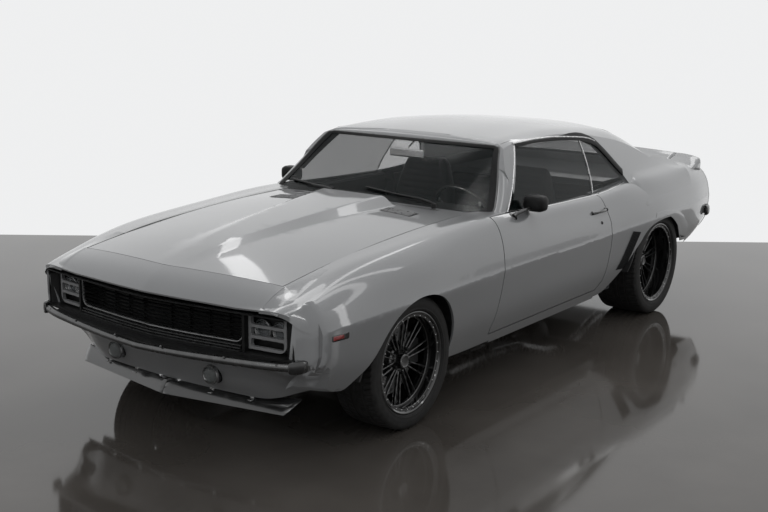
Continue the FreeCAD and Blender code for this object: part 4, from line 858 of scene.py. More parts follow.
def belt_place(y, aside, lift):
    _, x, z = side_knots(y)[1]
    return mm(x - 4 + aside, y, z + lift)


# Forms of trim
def rounded_path(corners, radius, steps=5):
    """Corner points with each inner corner replaced by a short arc."""
    path = [Vector(corners[0])]
    for a, b, c in zip(corners, corners[1:], corners[2:]):
        a, b, c = Vector(a), Vector(b), Vector(c)
        r = min(radius, (a - b).length * 0.45, (c - b).length * 0.45)
        start, end = b + (a - b).normalized() * r, b + (c - b).normalized() * r
        path += [arc3(start, b, end, t) for t in spread(0, 1, steps)]
    return path + [Vector(corners[-1])]


def dense(path, step):
    """The path with extra points so that no piece is longer than step."""
    out = [Vector(path[0])]
    for a, b in zip(path, path[1:]):
        a, b = Vector(a), Vector(b)
        count = max(1, int((b - a).length / step))
        out += [a.lerp(b, k / count) for k in range(1, count + 1)]
    return out


def normals_along(path):
    """Each point of a flat path with the normal there."""
    for i, p in enumerate(path):
        t = (path[min(i + 1, len(path) - 1)] - path[max(i - 1, 0)]).normalized()
        yield p, Vector((-t.y, t.x))


def trim_strip(path, section, place):
    """A closed section of (across, lift) points swept along a flat path; it may depend on the share done."""
    rows = []
    for i, (p, n) in enumerate(normals_along(path)):
        points = section(i / (len(path) - 1)) if callable(section) else section
        rows.append([place(p.x + n.x * a, p.y + n.y * a, lift) for a, lift in points])
    return Form().loft(rows)


def framed(outline, section, place):
    """A closed strip round a flat outline."""
    loop = dense(rounded_path(list(outline) + list(outline[:2]), 30, 6)[1:-1], 30)
    rows = []
    count = len(loop) - 1
    for i in range(count):
        p = loop[i]
        t = (loop[(i + 1) % count] - loop[i - 1]).normalized()
        n = Vector((t.y, -t.x))
        slim = 0.45 if n.y > 0.8 else 1.0
        rows.append([place(p.x + n.x * a * slim, p.y + n.y * a * slim, lift) for a, lift in section])
    return Form().grid(rows + [rows[0]], closed=True)


def plan_sweep(plan, half_w, count, section):
    """A closed section of (ahead, z) points swept across the car along a plan curve."""
    rows = []
    for x in spread(-half_w, half_w, count):
        slope = (plan(min(abs(x) + 2, half_w)) - plan(max(abs(x) - 2, 0))) / 4 * (1 if x >= 0 else -1)
        n = Vector((slope, -1)).normalized()
        rows.append([mm(x + n.x * a, plan(x) + n.y * a, z) for a, z in section(x)])
    return Form().loft(rows)


def disc_form(centre, axis, r, thick, sides=24, dome=0.0):
    """A small round head on a surface: flat sides and a slightly domed top."""
    axis = Vector(axis).normalized()
    aside = axis.orthogonal().normalized()
    other = axis.cross(aside)
    return Form().loft([[Vector(centre) + axis * up + (aside * math.cos(a) + other * math.sin(a)) * radius
                         for a in turns(sides)]
                        for up, radius in ((0, r), (thick * 0.75, r), (thick, r * 0.82),
                                           (thick + dome, r * 0.3))])


def side_patch(y0, y1, z0, z1, lift, deep, corner_r):
    """A thin plate on the body side within its y and z limits, lifted outwards."""
    corners = [(y0, z0), (y1, z0), (y1, z1), (y0, z1), (y0, z0), (y1, z0)]
    loop = rounded_path(corners, corner_r, 4)[1:-1]
    outer = [side_place(p.x, p.y, lift) for p in loop]
    inner = [side_place(p.x, p.y, lift - deep) for p in loop]
    centre = Vector((sum(p.x for p in loop), sum(p.y for p in loop))) / len(loop)
    middle = [side_place(*mix2(centre, p, 0.55), lift + 0.4) for p in loop]
    return Form().grid([inner, outer, middle], closed=True).fan(inner[::-1]).fan(middle)


def skinned(lines, step):
    """A thin sheet: each line of points, in millimetres, and the same line moved by step on the way back."""
    dx, dy, dz = step
    return Form().loft([[mm(*p) for p in line] + [mm(x + dx, y + dy, z + dz) for x, y, z in reversed(line)]
                        for line in lines])


# Front bumper: a blade that is taller at its ends, with small round bolts
def bumper_section(x):
    s = min(1.0, abs(x) / 850)
    low, top = 448.5 + 12 * s ** 2, 478 + 19 * s ** 1.4
    tall = top - low
    ring = [(-14 + 14 * math.cos(a), low + tall * (0.5 + 0.5 * math.sin(a))) for a in spread(-1.57, 1.57, 11)]
    return [(-25, low)] + ring + [(-25, top)]


plan_sweep(bumper_y, 846, 91, bumper_section).piece("bumper_blade", "satin_black", bumper_black, bevel=0.0015,
                                                    angle=40, replaces=["front_bumper"])
# A sheet from the bumper's top back to the nose, in near-black satin: painted shade of the gap above the
# bumper
gap_shade_sheet = [[mm(x, bumper_y(x) + 20, 481), mm(x, bumper_y(x) + 20, 491), mm(x, nose_y(x) + 14, 493),
          mm(x, nose_y(x) + 14, 483)] for x in spread(-700, 700, 29)]
Form().grid(gap_shade_sheet, closed=True).piece("bumper_gap_shade", "satin_black", black_satin)
bolts = Form()
for x in (150, 486, 740):
    bolts.add(disc_form(mm(x, bumper_y(x) + 7, 486), (0.12, -0.6, 0.8), 0.0065, 0.004, dome=0.002))
pair(bolts, "bumper_bolts", "steel_bare", black_gloss, angle=30)
rows = []
for t, low, top in ((0.0, 458, 499), (0.16, 450, 507), (0.5, 448, 512), (0.85, 450, 510), (1.0, 456, 503)):
    x, out = mix(792, 842, t), math.sin(math.pi * t)
    y = bumper_y(x)
    rows.append([mm(x, y + 26, low), mm(x, y - 4 * out - 1, low + 4),
                 mm(x + 3, y - 5 * out - 1, (low + top) / 2), mm(x, y - 4 * out - 1, top - 4),
                 mm(x, y + 26, top)])
pair(Form().loft(rows), "bumper_ends", "satin_black", black_gloss, bevel=0.003, segments=3)

# Grille: thin bars behind a rounded rim, with three long bars below it
bars = Form()
for z in spread(556, 660, 7):
    bars.add(plan_sweep(nose_y, 524, 61,
                        lambda x: [(-42, z), (-40, z + 1.8), (-60, z + 3.0), (-60, z - 1.6)]))
for x in (90, 200, 310, 420):
    for post in (-x, x):
        y = nose_y(x) + 84
        bars.block(*mm(post - 1.2, post + 1.2, y, y + 10, 536, 672))
bars.piece("grille_bars", "satin_black", black_satin, replaces=["grille"])
path = dense(rounded_path([(0, 541), (500, 541), (525, 566), (525, 672)], 40), 24)
rim = Form().loft([[mm(p.x + n.x * a, nose_y(p.x) + 40 + b, p.y + n.y * a)
                    for a, b in ((-3, 0), (3, 0), (4, 14), (-4, 14))] for p, n in normals_along(path)])
pair(rim, "grille_rim", "dark_grey_trim", trim_grey, bevel=0.001)
low_bars = Form()
for z, a in ((505, -22), (516, -28), (527, -34)):
    low_bars.add(plan_sweep(nose_y, 520, 31,
                            lambda x: [(a, z - 2), (a, z + 2), (a - 26, z + 2), (a - 26, z - 2)]))
low_bars.piece("grille_low_bars", "dark_grey_trim", trim_dark)
header_edge = plan_sweep(nose_y, 636, 41,
                         lambda x: [(-8, 682), (-6, 684), (-16, 684), (-16, 676), (-10, 676)])
header_edge.piece("grille_top_edge", "dark_grey_trim", trim_dark)

# Head lamps behind the covers, and the round lamps of the valance
bowl = offsets(0, 0, (4, 1), (4, 16), (-8, 34), (-20, 43), (-20, 47), (6, 47))
pane = offsets(0, 0, (-26, 0.5), (-25.5, 20), (-22, 38), (-19.5, 42.5), (-17, 42.5), (-19, 37), (-22.5, 19),
               (-23, 0.5))
ring = offsets(0, 0, (-21, 42.5), (-24, 44.5), (-22, 48), (-10, 48), (-10, 42.5))
low_bowl = offsets(0, 0, (4, 1), (4, 20), (-4, 34), (-10, 39), (-10, 43.5), (55, 43.5), (55, 1))
low_lens = offsets(0, 0, (-16, 0.5), (-15.5, 12), (-14, 24), (-10, 34), (-4, 38.5), (0, 38.5), (-6, 33),
                   (-11, 22), (-13, 0.5))
low_ring = offsets(0, 0, (-4, 38.2), (-8, 39.5), (-8.5, 43), (-5, 46.2), (0, 47.2), (6, 47.2), (6, 38.2))
high_at = [mm(x, nose_y(x) + 104, 600) for x in (594, 688)]
low_at = [mm(314, -2200, 351)]
for name, profile, places, sides, slot, material, more in (
        ("head_lamp_bowls", bowl, high_at, 40, "chrome_bright", lamp_back, {"angle": 30}),
        ("head_lamp_glasses", pane, high_at, 40, "lens_clear", lens_clear, {"angle": 30}),
        ("head_lamp_rings", ring, high_at, 40, "chrome_bright", trim_grey, {"angle": 40}),
        ("round_lamp_bowls", low_bowl, low_at, 48, "chrome_bright", lamp_back,
         {"angle": 30, "replaces": ["head_lamps"]}),
        ("round_lamp_lenses", low_lens, low_at, 48, "lens_clear", lens_ribbed, {}),
        ("round_lamp_rings", low_ring, low_at, 48, "chrome_bright", trim_grey, {"angle": 40})):
    form = Form()
    for at in places:
        form.lathe(profile, at, sides, "y")
    pair(form, name, slot, material, **more)

# Splitter: two curved wings with a thin raised edge and brackets up to the valance
rows = []
for t in spread(0, 1, 25):
    lead = Vector((mix(1, 660, t), mix(-2203, -2104, t), mix(197, 205, t)))
    root = Vector((mix(1, 706, t), mix(-2162, -2032, t), mix(262, 270, t)))
    up = [lead.lerp(root, s) - Vector((0, 9, 5)) * math.sin(math.pi * s) for s in spread(0, 1, 9)]
    under = [p + Vector((0, 5, -1.5 if i else 3)) for i, p in enumerate(up)]
    rows.append([mm(*p) for p in up + under[::-1]])
pair(Form().loft(rows), "splitter_wings", "black_trim", splitter_black, replaces=["front_splitter"], angle=40,
     bevel=0.0008)
feet = Form()
for x, y, z in ((60, -2148, 262), (250, -2128, 262), (470, -2098, 264)):
    for ahead, low, high in ((3, 26, 10), (20, 26, -23)):
        feet.block(*mm(x - 11, x + 11, y - ahead, y, z - low, z + high))
    feet.add(disc_form(mm(x, y - 3, z - 4), (0, -1, 0), 0.0065, 0.004, 6, 0.001))
pair(feet, "splitter_brackets", "steel_bare", steel, bevel=0.0008)

# Header panel: its ends rise to meet the fenders
rows = []
for x in spread(-652, 652, 105):
    share = eased((abs(x) - 240) / 400.0)
    row = []
    for t in spread(0, 1, 25):
        _, y, z = (c / MM for c in header_point(min(640, abs(x)), t))
        gap = side_curve(y)[1] - header_point(640, t)[2] / MM
        row.append((x, y, z + 1.2 + share * max(0.0, min(30.0, gap))))
    _, y, z = row[-1]
    under = [(a, b + 4, c - 6) for a, b, c in reversed(row)]
    rows.append([mm(*p) for p in row + [(x, y + 1, z - 7), (x, y + 14, z - 9)] + under])
Form().loft(rows).piece("header_skin", "body_paint", paint, angle=40, replaces=["header_panel"])

# Side markers, and the vents ahead of the rear wheels
marker = side_patch(-2052, -1952, 571, 601, 2.5, 8, 7)
pair(marker, "marker_frames", "satin_black", black_gloss, bevel=0.0006)
marker = side_patch(-2046, -1984, 577, 595, 4.0, 5, 3)
pair(marker, "marker_lenses", "lens_red", lens_red, bevel=0.0008)


def vent_rows(u, v, steps):
    """Rows up the side vent, each of points off its line at the share u of its width and v of its slant."""
    rows = []
    for t in spread(0, 1, 15):
        y0, y1 = mix(713, 878, t ** 0.95), mix(815, 976, t ** 0.95)
        z0, z1 = mix(392, 610, t), mix(384, 592, t)
        rows.append([side_place(mix(y0, y1, u + du) + dy, mix(z0, z1, v + du), lift) for du, dy,
                     lift in steps])
    return rows


vent_back = Form().loft(vent_rows(0, 0, ((0, 0, -1.5), (1, 0, -1.5), (1, 0, 1.2), (0, 0, 1.2))))
pair(vent_back, "side_vent_backs", "satin_black", black_matt)
slats = Form()
for share in spread(0, 1, 6):
    slats.loft(vent_rows(share * 0.92 + 0.03, share, ((0, -6, 0.5), (0, -4, 6.0), (0, 2, 3.0), (0, 5, 0.5))))
pair(slats, "side_vent_slats", "satin_black", black_satin)

# Painted skins over the seams: the rear wheel's opening, the brow and the foot of the roof's side
ARCH_EDGE = [(1180, 655), (1308, 657), (1400, 633), (1448, 613), (1510, 580), (1557, 549), (1589, 510),
             (1625, 470), (1690, 420)]
PANEL_EDGE = [(1200, 690), (1330, 690), (1440, 680), (1520, 668), (1610, 640), (1700, 600), (1790, 540),
              (1850, 470), (1880, 398)]
rows = []
for t in spread(0, 8, 41):
    k = min(7, int(t))
    edge, far = (mix2(line[k], line[k + 1], t - k) for line in (ARCH_EDGE, PANEL_EDGE))
    row = [side_place(*mix2(edge, far, u), 1.6 - 2.4 * eased((u - 0.55) / 0.45)) for u in spread(0, 1, 9)]
    rows.append(row + [side_place(*mix2(edge, far, u), -4) for u in (1, 0.5, 0.01)])
pair(Form().loft(rows), "quarter_lips", "body_paint", paint, angle=45)
lines = []
for x in spread(-588, 588, 49):
    a = Vector((shield_y(x, 1213) + 1, 1213))
    b = Vector((-55, roof_z(x, -55) - 0.8))
    c = Vector((a.x + 14, mix(a.y, b.y, 0.80) + 2))
    lines.append([(x, *arc3(a, c, b, u)) for u in spread(0, 1, 15)])
skinned(lines, (0, 2, -6)).piece("roof_brow", "body_paint", paint, angle=45)
lines = []
for y in spread(1040, 1872, 43):
    section = natural(side_knots(y))
    high = mix(926, 985, eased((y - 1030) / 130.0)) - 45 * eased((y - 1640) / 230.0)
    mid = mix(high, 862, 0.5)
    x, z = section(3.05)
    line = natural([(0, cabin_x(y, high) - 1.2, high), (1, cabin_x(y, mid) + 2, mid),
                    (2, cabin_x(y, 872) + 3, 874), (3, *section(2.62)), (4, x - 1.2, z)])
    sink = 3.0 * (1 - eased((y - 1040) / 60.0))
    lines.append([(x - sink, y, z - sink) for x, z in (line(t) for t in spread(0, 4, 19))])
pair(skinned(lines, (-6, 0, -5)), "roof_feet", "body_paint", paint, angle=45)

# Door handles and locks
for side, sign in SIDES:
    plates = disc_form(side_place(404, 783, -1), (1, 0, 0.35), 0.012, 0.006, 20, 0.001)
    plates.add(disc_form(side_place(566, 783, -1), (1, 0, 0.35), 0.013, 0.006, 20, 0.001))
    path = [side_place(y, 783 + 1.5 * math.sin(math.pi * (y - 404) / 162),
                       14 * math.sin(math.pi * (y - 396) / 178) + 4) for y in spread(398, 570, 15)]
    handle = Form().tube(path, [mix(0.0095, 0.0080, math.sin(math.pi * k / 14)) for k in range(15)], 12)
    button = disc_form(side_place(566, 783, 5), (1, 0, 0.35), 0.0095, 0.012, 20, 0.002)
    lock = disc_form(side_place(488, 718, -1), (1, 0, 0.30), 0.0105, 0.004, 24, 0.0008)
    core = disc_form(side_place(488, 718, 2), (1, 0, 0.30), 0.0062, 0.004, 20, 0.0005)
    sided([("handle_", handle, "black_trim", black_gloss),
           ("handle_plates_", plates, "black_trim", black_gloss),
           ("handle_button_", button, "black_trim", black_satin), ("lock_", lock, "black_trim", black_gloss),
           ("lock_core_", core, "satin_black", black_satin)], side, sign, body="door_" + side, angle=30)


# Seals and mouldings about the windows
def seal_section(share):
    wide = mix(8, 44, eased((share - 0.30) / 0.40))
    return [(-5, -9), (-4, 1.5), (0, 3.5), (wide, 3.2), (wide + 3, 0.5), (wide + 2, -6)]


for name, slot, material, angle, section, corners in (
        ("window_seals", "satin_black", seal, 40, seal_section,
         [(-94, 1205), (120, 1207), (260, 1204), (420, 1194), (560, 1182), (650, 1172), (720, 1160),
          (780, 1143), (830, 1122), (884, 1068), (944, 1000), (1004, 934)]),
        ("drip_mouldings", "chrome_bright", steel, 30, [(-3.5, -2), (-3.5, 5), (0, 7.5), (3.5, 5), (3.5, -2)],
         [(-110, 1222), (120, 1226), (300, 1222), (470, 1209), (600, 1197), (700, 1186), (780, 1172),
          (838, 1152)]),
        ("pillar_mouldings", "chrome_bright", steel, 30, [(-2, -2), (-2, 4), (0, 6), (2, 4), (2, -2)],
         [(-464, 872), (-458, 880), (-320, 1010), (-180, 1142), (-112, 1206)]),
        ("division_bars", "chrome_bright", steel, 30,
         [(-4, -6), (-4, 1), (-2.5, 3), (2.5, 3), (4, 1), (4, -6)], [(541, 878), (634, 1172)])):
    pair(trim_strip(dense(corners, 20), section, cabin_place), name, slot, material, angle=angle)
for side, sign in SIDES:
    for name, body, y0, y1 in (("belt_door_", "door_" + side, -470, 594),
                               ("belt_quarter_", "root", 608, 985)):
        form = Form().loft([[belt_place(y, a, b) for a,
                             b in ((-12, -4), (-10, 3), (-4, 4.5), (3, 3), (5, -3))]
                            for y in spread(y0, y1, 40)])
        sided([(name, form, "chrome_bright", chrome)], side, sign, body=body)
SHIELD_EDGE = [(-741, 898), (741, 898), (587, 1208), (-587, 1208)]
BACKLIGHT_EDGE = [(-499, 1301), (-594, 1812), (594, 1812), (499, 1301)]
for name, slot, material, edge, place, section in (
        ("windshield_seal", "satin_black", seal, SHIELD_EDGE, shield_place,
         [(-22, -8), (-21, -1.5), (0, 4.5), (12, 4.0), (15, -2)]),
        ("windshield_moulding", "chrome_bright", trim_dark, SHIELD_EDGE, shield_place,
         [(12, 1), (12.5, 5), (17, 5.5), (19, 1)]),
        ("backlight_seal", "satin_black", seal, BACKLIGHT_EDGE, roof_place,
         [(-16, -8), (-15, -1.5), (0, 4.0), (9, 3.5), (11, -2)]),
        ("backlight_moulding", "chrome_bright", chrome, BACKLIGHT_EDGE, roof_place,
         [(8, 1), (8.5, 4.5), (13, 5), (15, 1)])):
    framed(edge, section, place).piece(name, slot, material, angle=40)


# Painted feet of the windshield pillars, between the glass seals
def pillar_foot(sign):
    """The pillar from the edge of the windshield to the front line of the door window."""
    rows = []
    for z in spread(868, 1206, 27):
        x0 = mix(757, 603, (z - 897) / 311.0)
        y1 = mix(-466, -116, (z - 872) / 334.0)
        sunk = -3 - 3 * eased((z - 1165) / 40.0)
        a = Vector((x0, shield_y(x0, z) - 2 - sunk))
        b = Vector((cabin_x(y1, z) + 4.5 + sunk, y1))
        c = Vector((b.x - 1, mix(a.y, b.y, 0.20) - 9))
        outer = [arc3(a, c, b, u) for u in spread(0, 1, 9)]
        rows.append([mm(sign * x, y, z) for x, y in outer + [p + Vector((-10, 10)) for p in reversed(outer)]])
    return Form().loft(rows)


for side, sign in SIDES:
    pillar_foot(sign).piece("pillar_foot_" + side, "body_paint", paint, angle=50)

# Door mirrors, wipers, hood vents and the cowl's grille
MIRROR_AT = (0.862, 0.932)


def drawn_in(ring, share, back):
    """The ring of a mirror's head drawn in towards its middle and moved along the car."""
    return [(mix(x, MIRROR_AT[0], share), y + back, mix(z, MIRROR_AT[1], share)) for x, y, z in ring]


for side, sign in SIDES:
    rings = []
    for grow, y in ((0.55, -306), (0.78, -303), (0.92, -295), (1.0, -278), (1.0, -246), (0.985, -240),
                    (0.96, -238)):
        rings.append([(MIRROR_AT[0] + 0.064 * grow * squared(math.cos(a), 0.55), y * MM,
                       MIRROR_AT[1] + 0.045 * grow * squared(math.sin(a), 0.55)) for a in turns(40)])
    sunk = drawn_in(rings[-1], 0.06, -0.004)
    head = Form().grid(rings, closed=True).fan(rings[0][::-1]).grid([rings[-1], sunk], closed=True).fan(sunk)
    mirror_glass = Form().slab(drawn_in(sunk, 0.02, 0.0006), (0, -0.002, 0))
    stalk = Form().tube([mm(826, -432, 882), mm(832, -410, 892), mm(842, -350, 902), mm(852, -296, 912)],
                        [0.0125, 0.0105, 0.0095, 0.0120], 14)
    stalk.add(disc_form(mm(822, -436, 876), (0.62, 0, 0.78), 0.026, 0.007, 28, 0.0015))
    sided([("mirror_head_", head, "black_trim", black_satin)], side, sign, body="door_" + side, angle=40,
          replaces=["mirror_" + side])
    sided([("mirror_glass_", mirror_glass, "chrome_bright", chrome),
           ("mirror_stalk_", stalk, "black_trim", black_gloss)],
          side, sign, body="door_" + side, angle=40)
wiper_arms, wiper_blades = Form(), Form()
for (x, y), (tip_x, tip_z) in (((470, -664), (-30, 972)), ((-180, -712), (-640, 950))):
    foot = Vector((x, y, low_hood_z(x, y) + 4))
    high = foot + Vector((0, 0, 22))
    hold = Vector((mix(x, tip_x, 0.52), 0, mix(foot.z, tip_z, 0.62) + 6))
    hold.y = shield_y(hold.x, hold.z) - 24
    wiper_arms.add(disc_form(foot * MM, (0, 0, 1), 0.014, 0.024, 20, 0.003))
    bend = high.lerp(hold, 0.35) + Vector((0, -3, 8))
    wiper_arms.tube([high * MM, bend * MM, hold * MM], [0.0085, 0.0075, 0.0045])
    low_x, low_z = mix(x, tip_x, 0.12), mix(foot.z, tip_z, 0.22) + 12
    line = [(mix(tip_x, low_x, t), mix(tip_z, low_z, t)) for t in spread(0, 1, 11)]
    for lift, r, form in ((14, 0.0042, wiper_arms), (8, 0.0055, wiper_blades)):
        form.tube([shield_place(*p, lift) for p in line], r, 8)
wiper_arms.piece("wiper_arms", "satin_black", black_satin, replaces=["wipers"], angle=40)
wiper_blades.piece("wiper_blades", "satin_black", seal, angle=40)
vents = Form()
for k in range(8):
    vents.loft([[hood_place(x, -892 + 10 * k + a, b) for a,
                 b in ((-4.0, 0.3), (-2.5, 4.6), (2.0, 3.0), (4.0, 0.3))]
                for x in spread(290 + 2 * k, 476 - k, 12)])
pair(vents, "hood_louvres", "steel_bare", trim_grey, "hood", angle=40)
vent_back = Form().loft([[hood_place(x, y, b) for y,
                          b in ((-900, 0.2), (-900, 1.0), (-816, 1.0), (-816, 0.2))]
                         for x in spread(284, 482, 12)])
pair(vent_back, "hood_louvre_backs", "satin_black", black_matt, "hood")
cowl_slots = Form()
for x in range(70, 496, 17):
    y0, y1 = -775 + 120 * (x / HOOD_HALF_W) ** 2 + 26, shield_y(x, 905) - 26
    z0, z1 = low_hood_z(x, y0) - 1.4, low_hood_z(x, y1) - 1.4
    if y1 - y0 > 20:
        cowl_slots.slab([mm(x - 3, y0, z0), mm(x + 3, y0, z0), mm(x + 3, y1, z1), mm(x - 3, y1, z1)],
                        (0, 0, -0.0015))
pair(cowl_slots, "cowl_slots", "satin_black", black_matt)

# Tail: lamps with dividing bars, spoiler, bumper, exhaust
LAMP_Y = 2268
red, frames = Form(), Form()
for x0, x1 in ((262, 402), (412, 552), (562, 702)):
    red.block(*mm(x0 + 4, x1 - 4, LAMP_Y + 13, LAMP_Y + 3, 675, 797))
    for z in (701, 733, 765):
        frames.block(*mm(x0 + 2, x1 - 2, LAMP_Y + 12, LAMP_Y + 15.5, z - 1.6, z + 1.6))
    for a, b in ((x0, x0 + 4), (x1 - 4, x1)):
        frames.block(*mm(a, b, LAMP_Y + 1, LAMP_Y + 16, 672, 800))
    for a, b in ((672, 676), (796, 800)):
        frames.block(*mm(x0, x1, LAMP_Y + 1, LAMP_Y + 16, a, b))
pair(red, "tail_lamp_lenses", "lens_red", lens_red, bevel=0.002, replaces=["tail_lamps"])
pair(frames, "tail_lamp_frames", "satin_black", black_gloss, bevel=0.0006)


def tail_bumper_section(x):
    s = min(1.0, abs(x) / 880)
    low, top = 521 + 4 * s, 597 - 6 * s
    return [(25, low), (8, low), (2, low + 8), (0, low + 22), (0, top - 26), (3, top - 10), (10, top),
            (25, top)]


rows = []
tail_turn = natural([(i, x, y) for i, (x, y) in enumerate(TAIL_PLAN)])
for t in spread(-6, 6, 97):
    x, y = tail_turn(abs(t))
    ahead = tail_turn(min(abs(t) + 0.02, 6)) - tail_turn(max(abs(t) - 0.02, 0))
    n = Vector((-ahead[1], ahead[0])).normalized()
    sign = 1 if t >= 0 else -1
    rows.append([mm(sign * (x - n.x * a), y - n.y * a, z) for a, z in tail_bumper_section(x)])
Form().loft(rows).piece("rear_bumper_blade", "satin_black", bumper_black, bevel=0.0015, angle=40,
                        replaces=["rear_bumper"])
pair(Form().block(0.300, 0.350, 2.2785, 2.332, 0.535, 0.583), "rear_bumper_stubs", "satin_black", black_satin)
LIP_PROFILE = [(2098, 1), (2130, 7), (2180, 20), (2230, 36), (2264, 50), (2272, 52), (2279, 49), (2278, 38),
               (2270, 16), (2264, 3), (2244, -4), (2150, -4)]
blade = Form().loft([[mm(x, y, deck_z(x, min(y, 2262)) + lift) for y, lift in LIP_PROFILE]
                     for x in spread(-591, 591, 41)])
blade.piece("spoiler_blade", "body_paint", paint, "trunk_lid", bevel=0.001, angle=50,
            replaces=["rear_spoiler"])
rows = []
for s in spread(0, 1, 21):
    x = mix(597, 792, s)
    shut = eased((s - 0.93) / 0.07)
    ring = []
    for y, lift in LIP_PROFILE:
        back = y - 16 * s ** 2 - 26 * s ** 6
        base = shoulder_z(x, min(back, 2258)) - 4
        crown = deck_z(591, min(y, 2262)) + 52 - 26 * s ** 2
        share = max(0.0, lift) / 52.0
        ring.append(mm(x, back - 10 * shut * share, base + (crown - base) * share ** 0.8 * (1 - 0.25 * shut)))
    rows.append(ring)
pair(Form().loft(rows), "spoiler_ends", "body_paint", paint, bevel=0.001, angle=50)
pipes = Form()
for x in (-240, 240):
    path = [mm(x * share, y, z) for share, y, z in
            ((0.75, -700, 205), (0.75, 300, 205), (1.0, 700, 215), (1.02, 1050, 330), (1.02, 1311, 372),
             (1.0, 1560, 330), (1, 1720, 270), (1, 1860, 240))]
    pipes.tube(dense(path, 0.06), 0.0315, 20)
    box = offsets(0, 0, (-260, 1), (-260, 40), (-240, 64), (240, 64), (260, 40), (260, 1))
    pipes.lathe(box, mm(x * 0.75, 150, 205), 32, "y")
pipes.piece("exhaust_pipes", "steel_bare", steel, angle=40, replaces=["exhaust"])
cap = disc_form(mm(0, 2279, 620), (0, 1, 0), 0.036, 0.008, 40, 0.002)
cap.piece("fuel_cap", "chrome_bright", steel, angle=30)
bolts = Form()
for x in (-88.9, 88.9):
    bolts.add(disc_form(mm(x, 2283, 470), (0, 1, 0), 0.0055, 0.003, 18, 0.001))
bolts.piece("plate_bolts", "steel_bare", steel, angle=30)


def edge_height(y):
    """Height of the hood's side edge, or of the header panel's end ahead of it."""
    y0, y1 = hood_front_y(640) - PANEL_GAP, nose_y(640)
    if y > y0:
        return hood_z(640, y)
    return header_point(640, min(1.0, (y - y0) / (y1 - y0)))[2] / MM


# Painted fairing from the hood's edge down to the fender's crown
lines = []
for y in spread(-2232, -1830, 41):
    lift = max(0.0, edge_height(y) - side_curve(y)[1])
    line = []
    for x in spread(643, 742, 13):
        share = 1 - eased((x - 643) / 99.0)
        line.append((x, y, shoulder_z(x, y) + lift * share + 1.0 * share - 1.2 * (1 - share)))
    lines.append(line)
pair(skinned(lines, (0, 0, -6)), "fender_crowns", "body_paint", paint, angle=45)

# Matt black sheets on the inner walls of the nose corners, beside the lamp panels: painted shade of the deep
# recess there
lines = [[(772 - 0.6 * (y + 2164), y, z) for y in (-2190, -2176, -2160, -2120)] for z in spread(500, 655, 6)]
pair(skinned(lines, (2, 0, 0)), "nose_linings", "satin_black", black_matt, angle=45)


# Cabin: padded seats with cross pleats, trim, dash and steering wheel
def padded_bar(x, spine, count, pleat, depth, bolster, square=0.45):
    """A stuffed form at x along a spine of (s, y, z, front y, front z, half width, half thickness)."""
    curve = natural(spine)
    rings = []
    length = spine[-1][0]
    for s in spread(0, length, count):
        y, z, fy, fz, half, thick = curve(s)
        front = Vector((0, fy, fz)).normalized()
        shrink = min(1.0, min(s, length - s) / (thick * 1.1))
        swell = math.sqrt(max(0.0, 1 - (1 - shrink) ** 2)) * 0.985 + 0.015
        groove = abs(math.sin(math.pi * s / pleat)) ** 0.45
        ring = []
        for a in turns(44):
            px = half * squared(math.cos(a), square) * mix(1, swell, 0.16)
            pn = thick * squared(math.sin(a), square) * swell
            if math.sin(a) > 0:
                pn -= eased((0.78 - abs(px) / half) / 0.10) * (bolster + depth * (1 - groove)) * swell
            ring.append((x + px, y + front.y * pn, z + front.z * pn))
        rings.append(ring)
    return Form().loft(rings)


SEAT_X = 0.365
BACK = [(0.00, 0.420, 0.440, -1, 0.25, 0.205, 0.060), (0.14, 0.440, 0.575, -1, 0.22, 0.222, 0.062),
        (0.30, 0.470, 0.732, -1, 0.20, 0.218, 0.058), (0.44, 0.496, 0.868, -1, 0.18, 0.190, 0.050),
        (0.575, 0.514, 1.002, -1, 0.12, 0.142, 0.034)]
CUSHION = [(0.00, 0.395, 0.432, 0.08, 1, 0.205, 0.046), (0.16, 0.250, 0.436, 0.05, 1, 0.222, 0.056),
           (0.34, 0.070, 0.444, 0.0, 1, 0.224, 0.060), (0.52, -0.112, 0.440, -0.14, 1, 0.215, 0.048)]
REAR_CUSHION = [(0.0, 1.015, 0.530, 0.1, 1, 0.262, 0.030), (0.13, 0.885, 0.538, 0.05, 1, 0.266, 0.040),
                (0.26, 0.755, 0.540, -0.10, 1, 0.262, 0.036)]
REAR_BACK = [(0.0, 1.055, 0.560, -1, 0.1, 0.262, 0.040), (0.14, 1.070, 0.690, -1, 0.1, 0.264, 0.042),
             (0.28, 1.086, 0.826, -1, 0.15, 0.260, 0.024)]
for side, sign in SIDES:
    back = padded_bar(SEAT_X, BACK, 100, 0.040, 0.010, 0.010)
    cushion = padded_bar(SEAT_X, CUSHION, 90, 0.043, 0.010, 0.008)
    back.on_side(sign).piece("seat_back_" + side, "leather_black", leather, angle=75,
                                       replaces=["seat_" + side])
    cushion.on_side(sign).piece("seat_cushion_" + side, "leather_black", leather, angle=75)
    base = Form().block(SEAT_X - 0.165, SEAT_X + 0.165, -0.05, 0.33, 0.290, 0.400)
    rails, hinge = Form(), Form()
    for x in (SEAT_X - 0.15, SEAT_X + 0.15):
        rails.block(x - 0.015, x + 0.015, -0.09, 0.37, 0.2865, 0.300)
    for out in (1, -1):
        hinge.add(disc_form((SEAT_X + 0.212 * out, 0.405, 0.470), (out, 0, 0), 0.030, 0.010, 28, 0.003))
    sided([("seat_base_", base, "dash_plastic", black_satin), ("seat_rails_", rails, "chassis_black", steel),
           ("seat_hinges_", hinge, "chrome_bright", chrome)], side, sign, bevel=0.002)
rear_cushion, rear_back = Form(), Form()
for x in (-0.29, 0.29):
    rear_cushion.add(padded_bar(x, REAR_CUSHION, 56, 0.043, 0.009, 0.006))
    rear_back.add(padded_bar(x, REAR_BACK, 60, 0.043, 0.009, 0.006))
rear_cushion.piece("rear_cushions", "leather_black", leather, angle=75, replaces=["rear_seat"])
rear_back.piece("rear_backs", "leather_black", leather, angle=75)

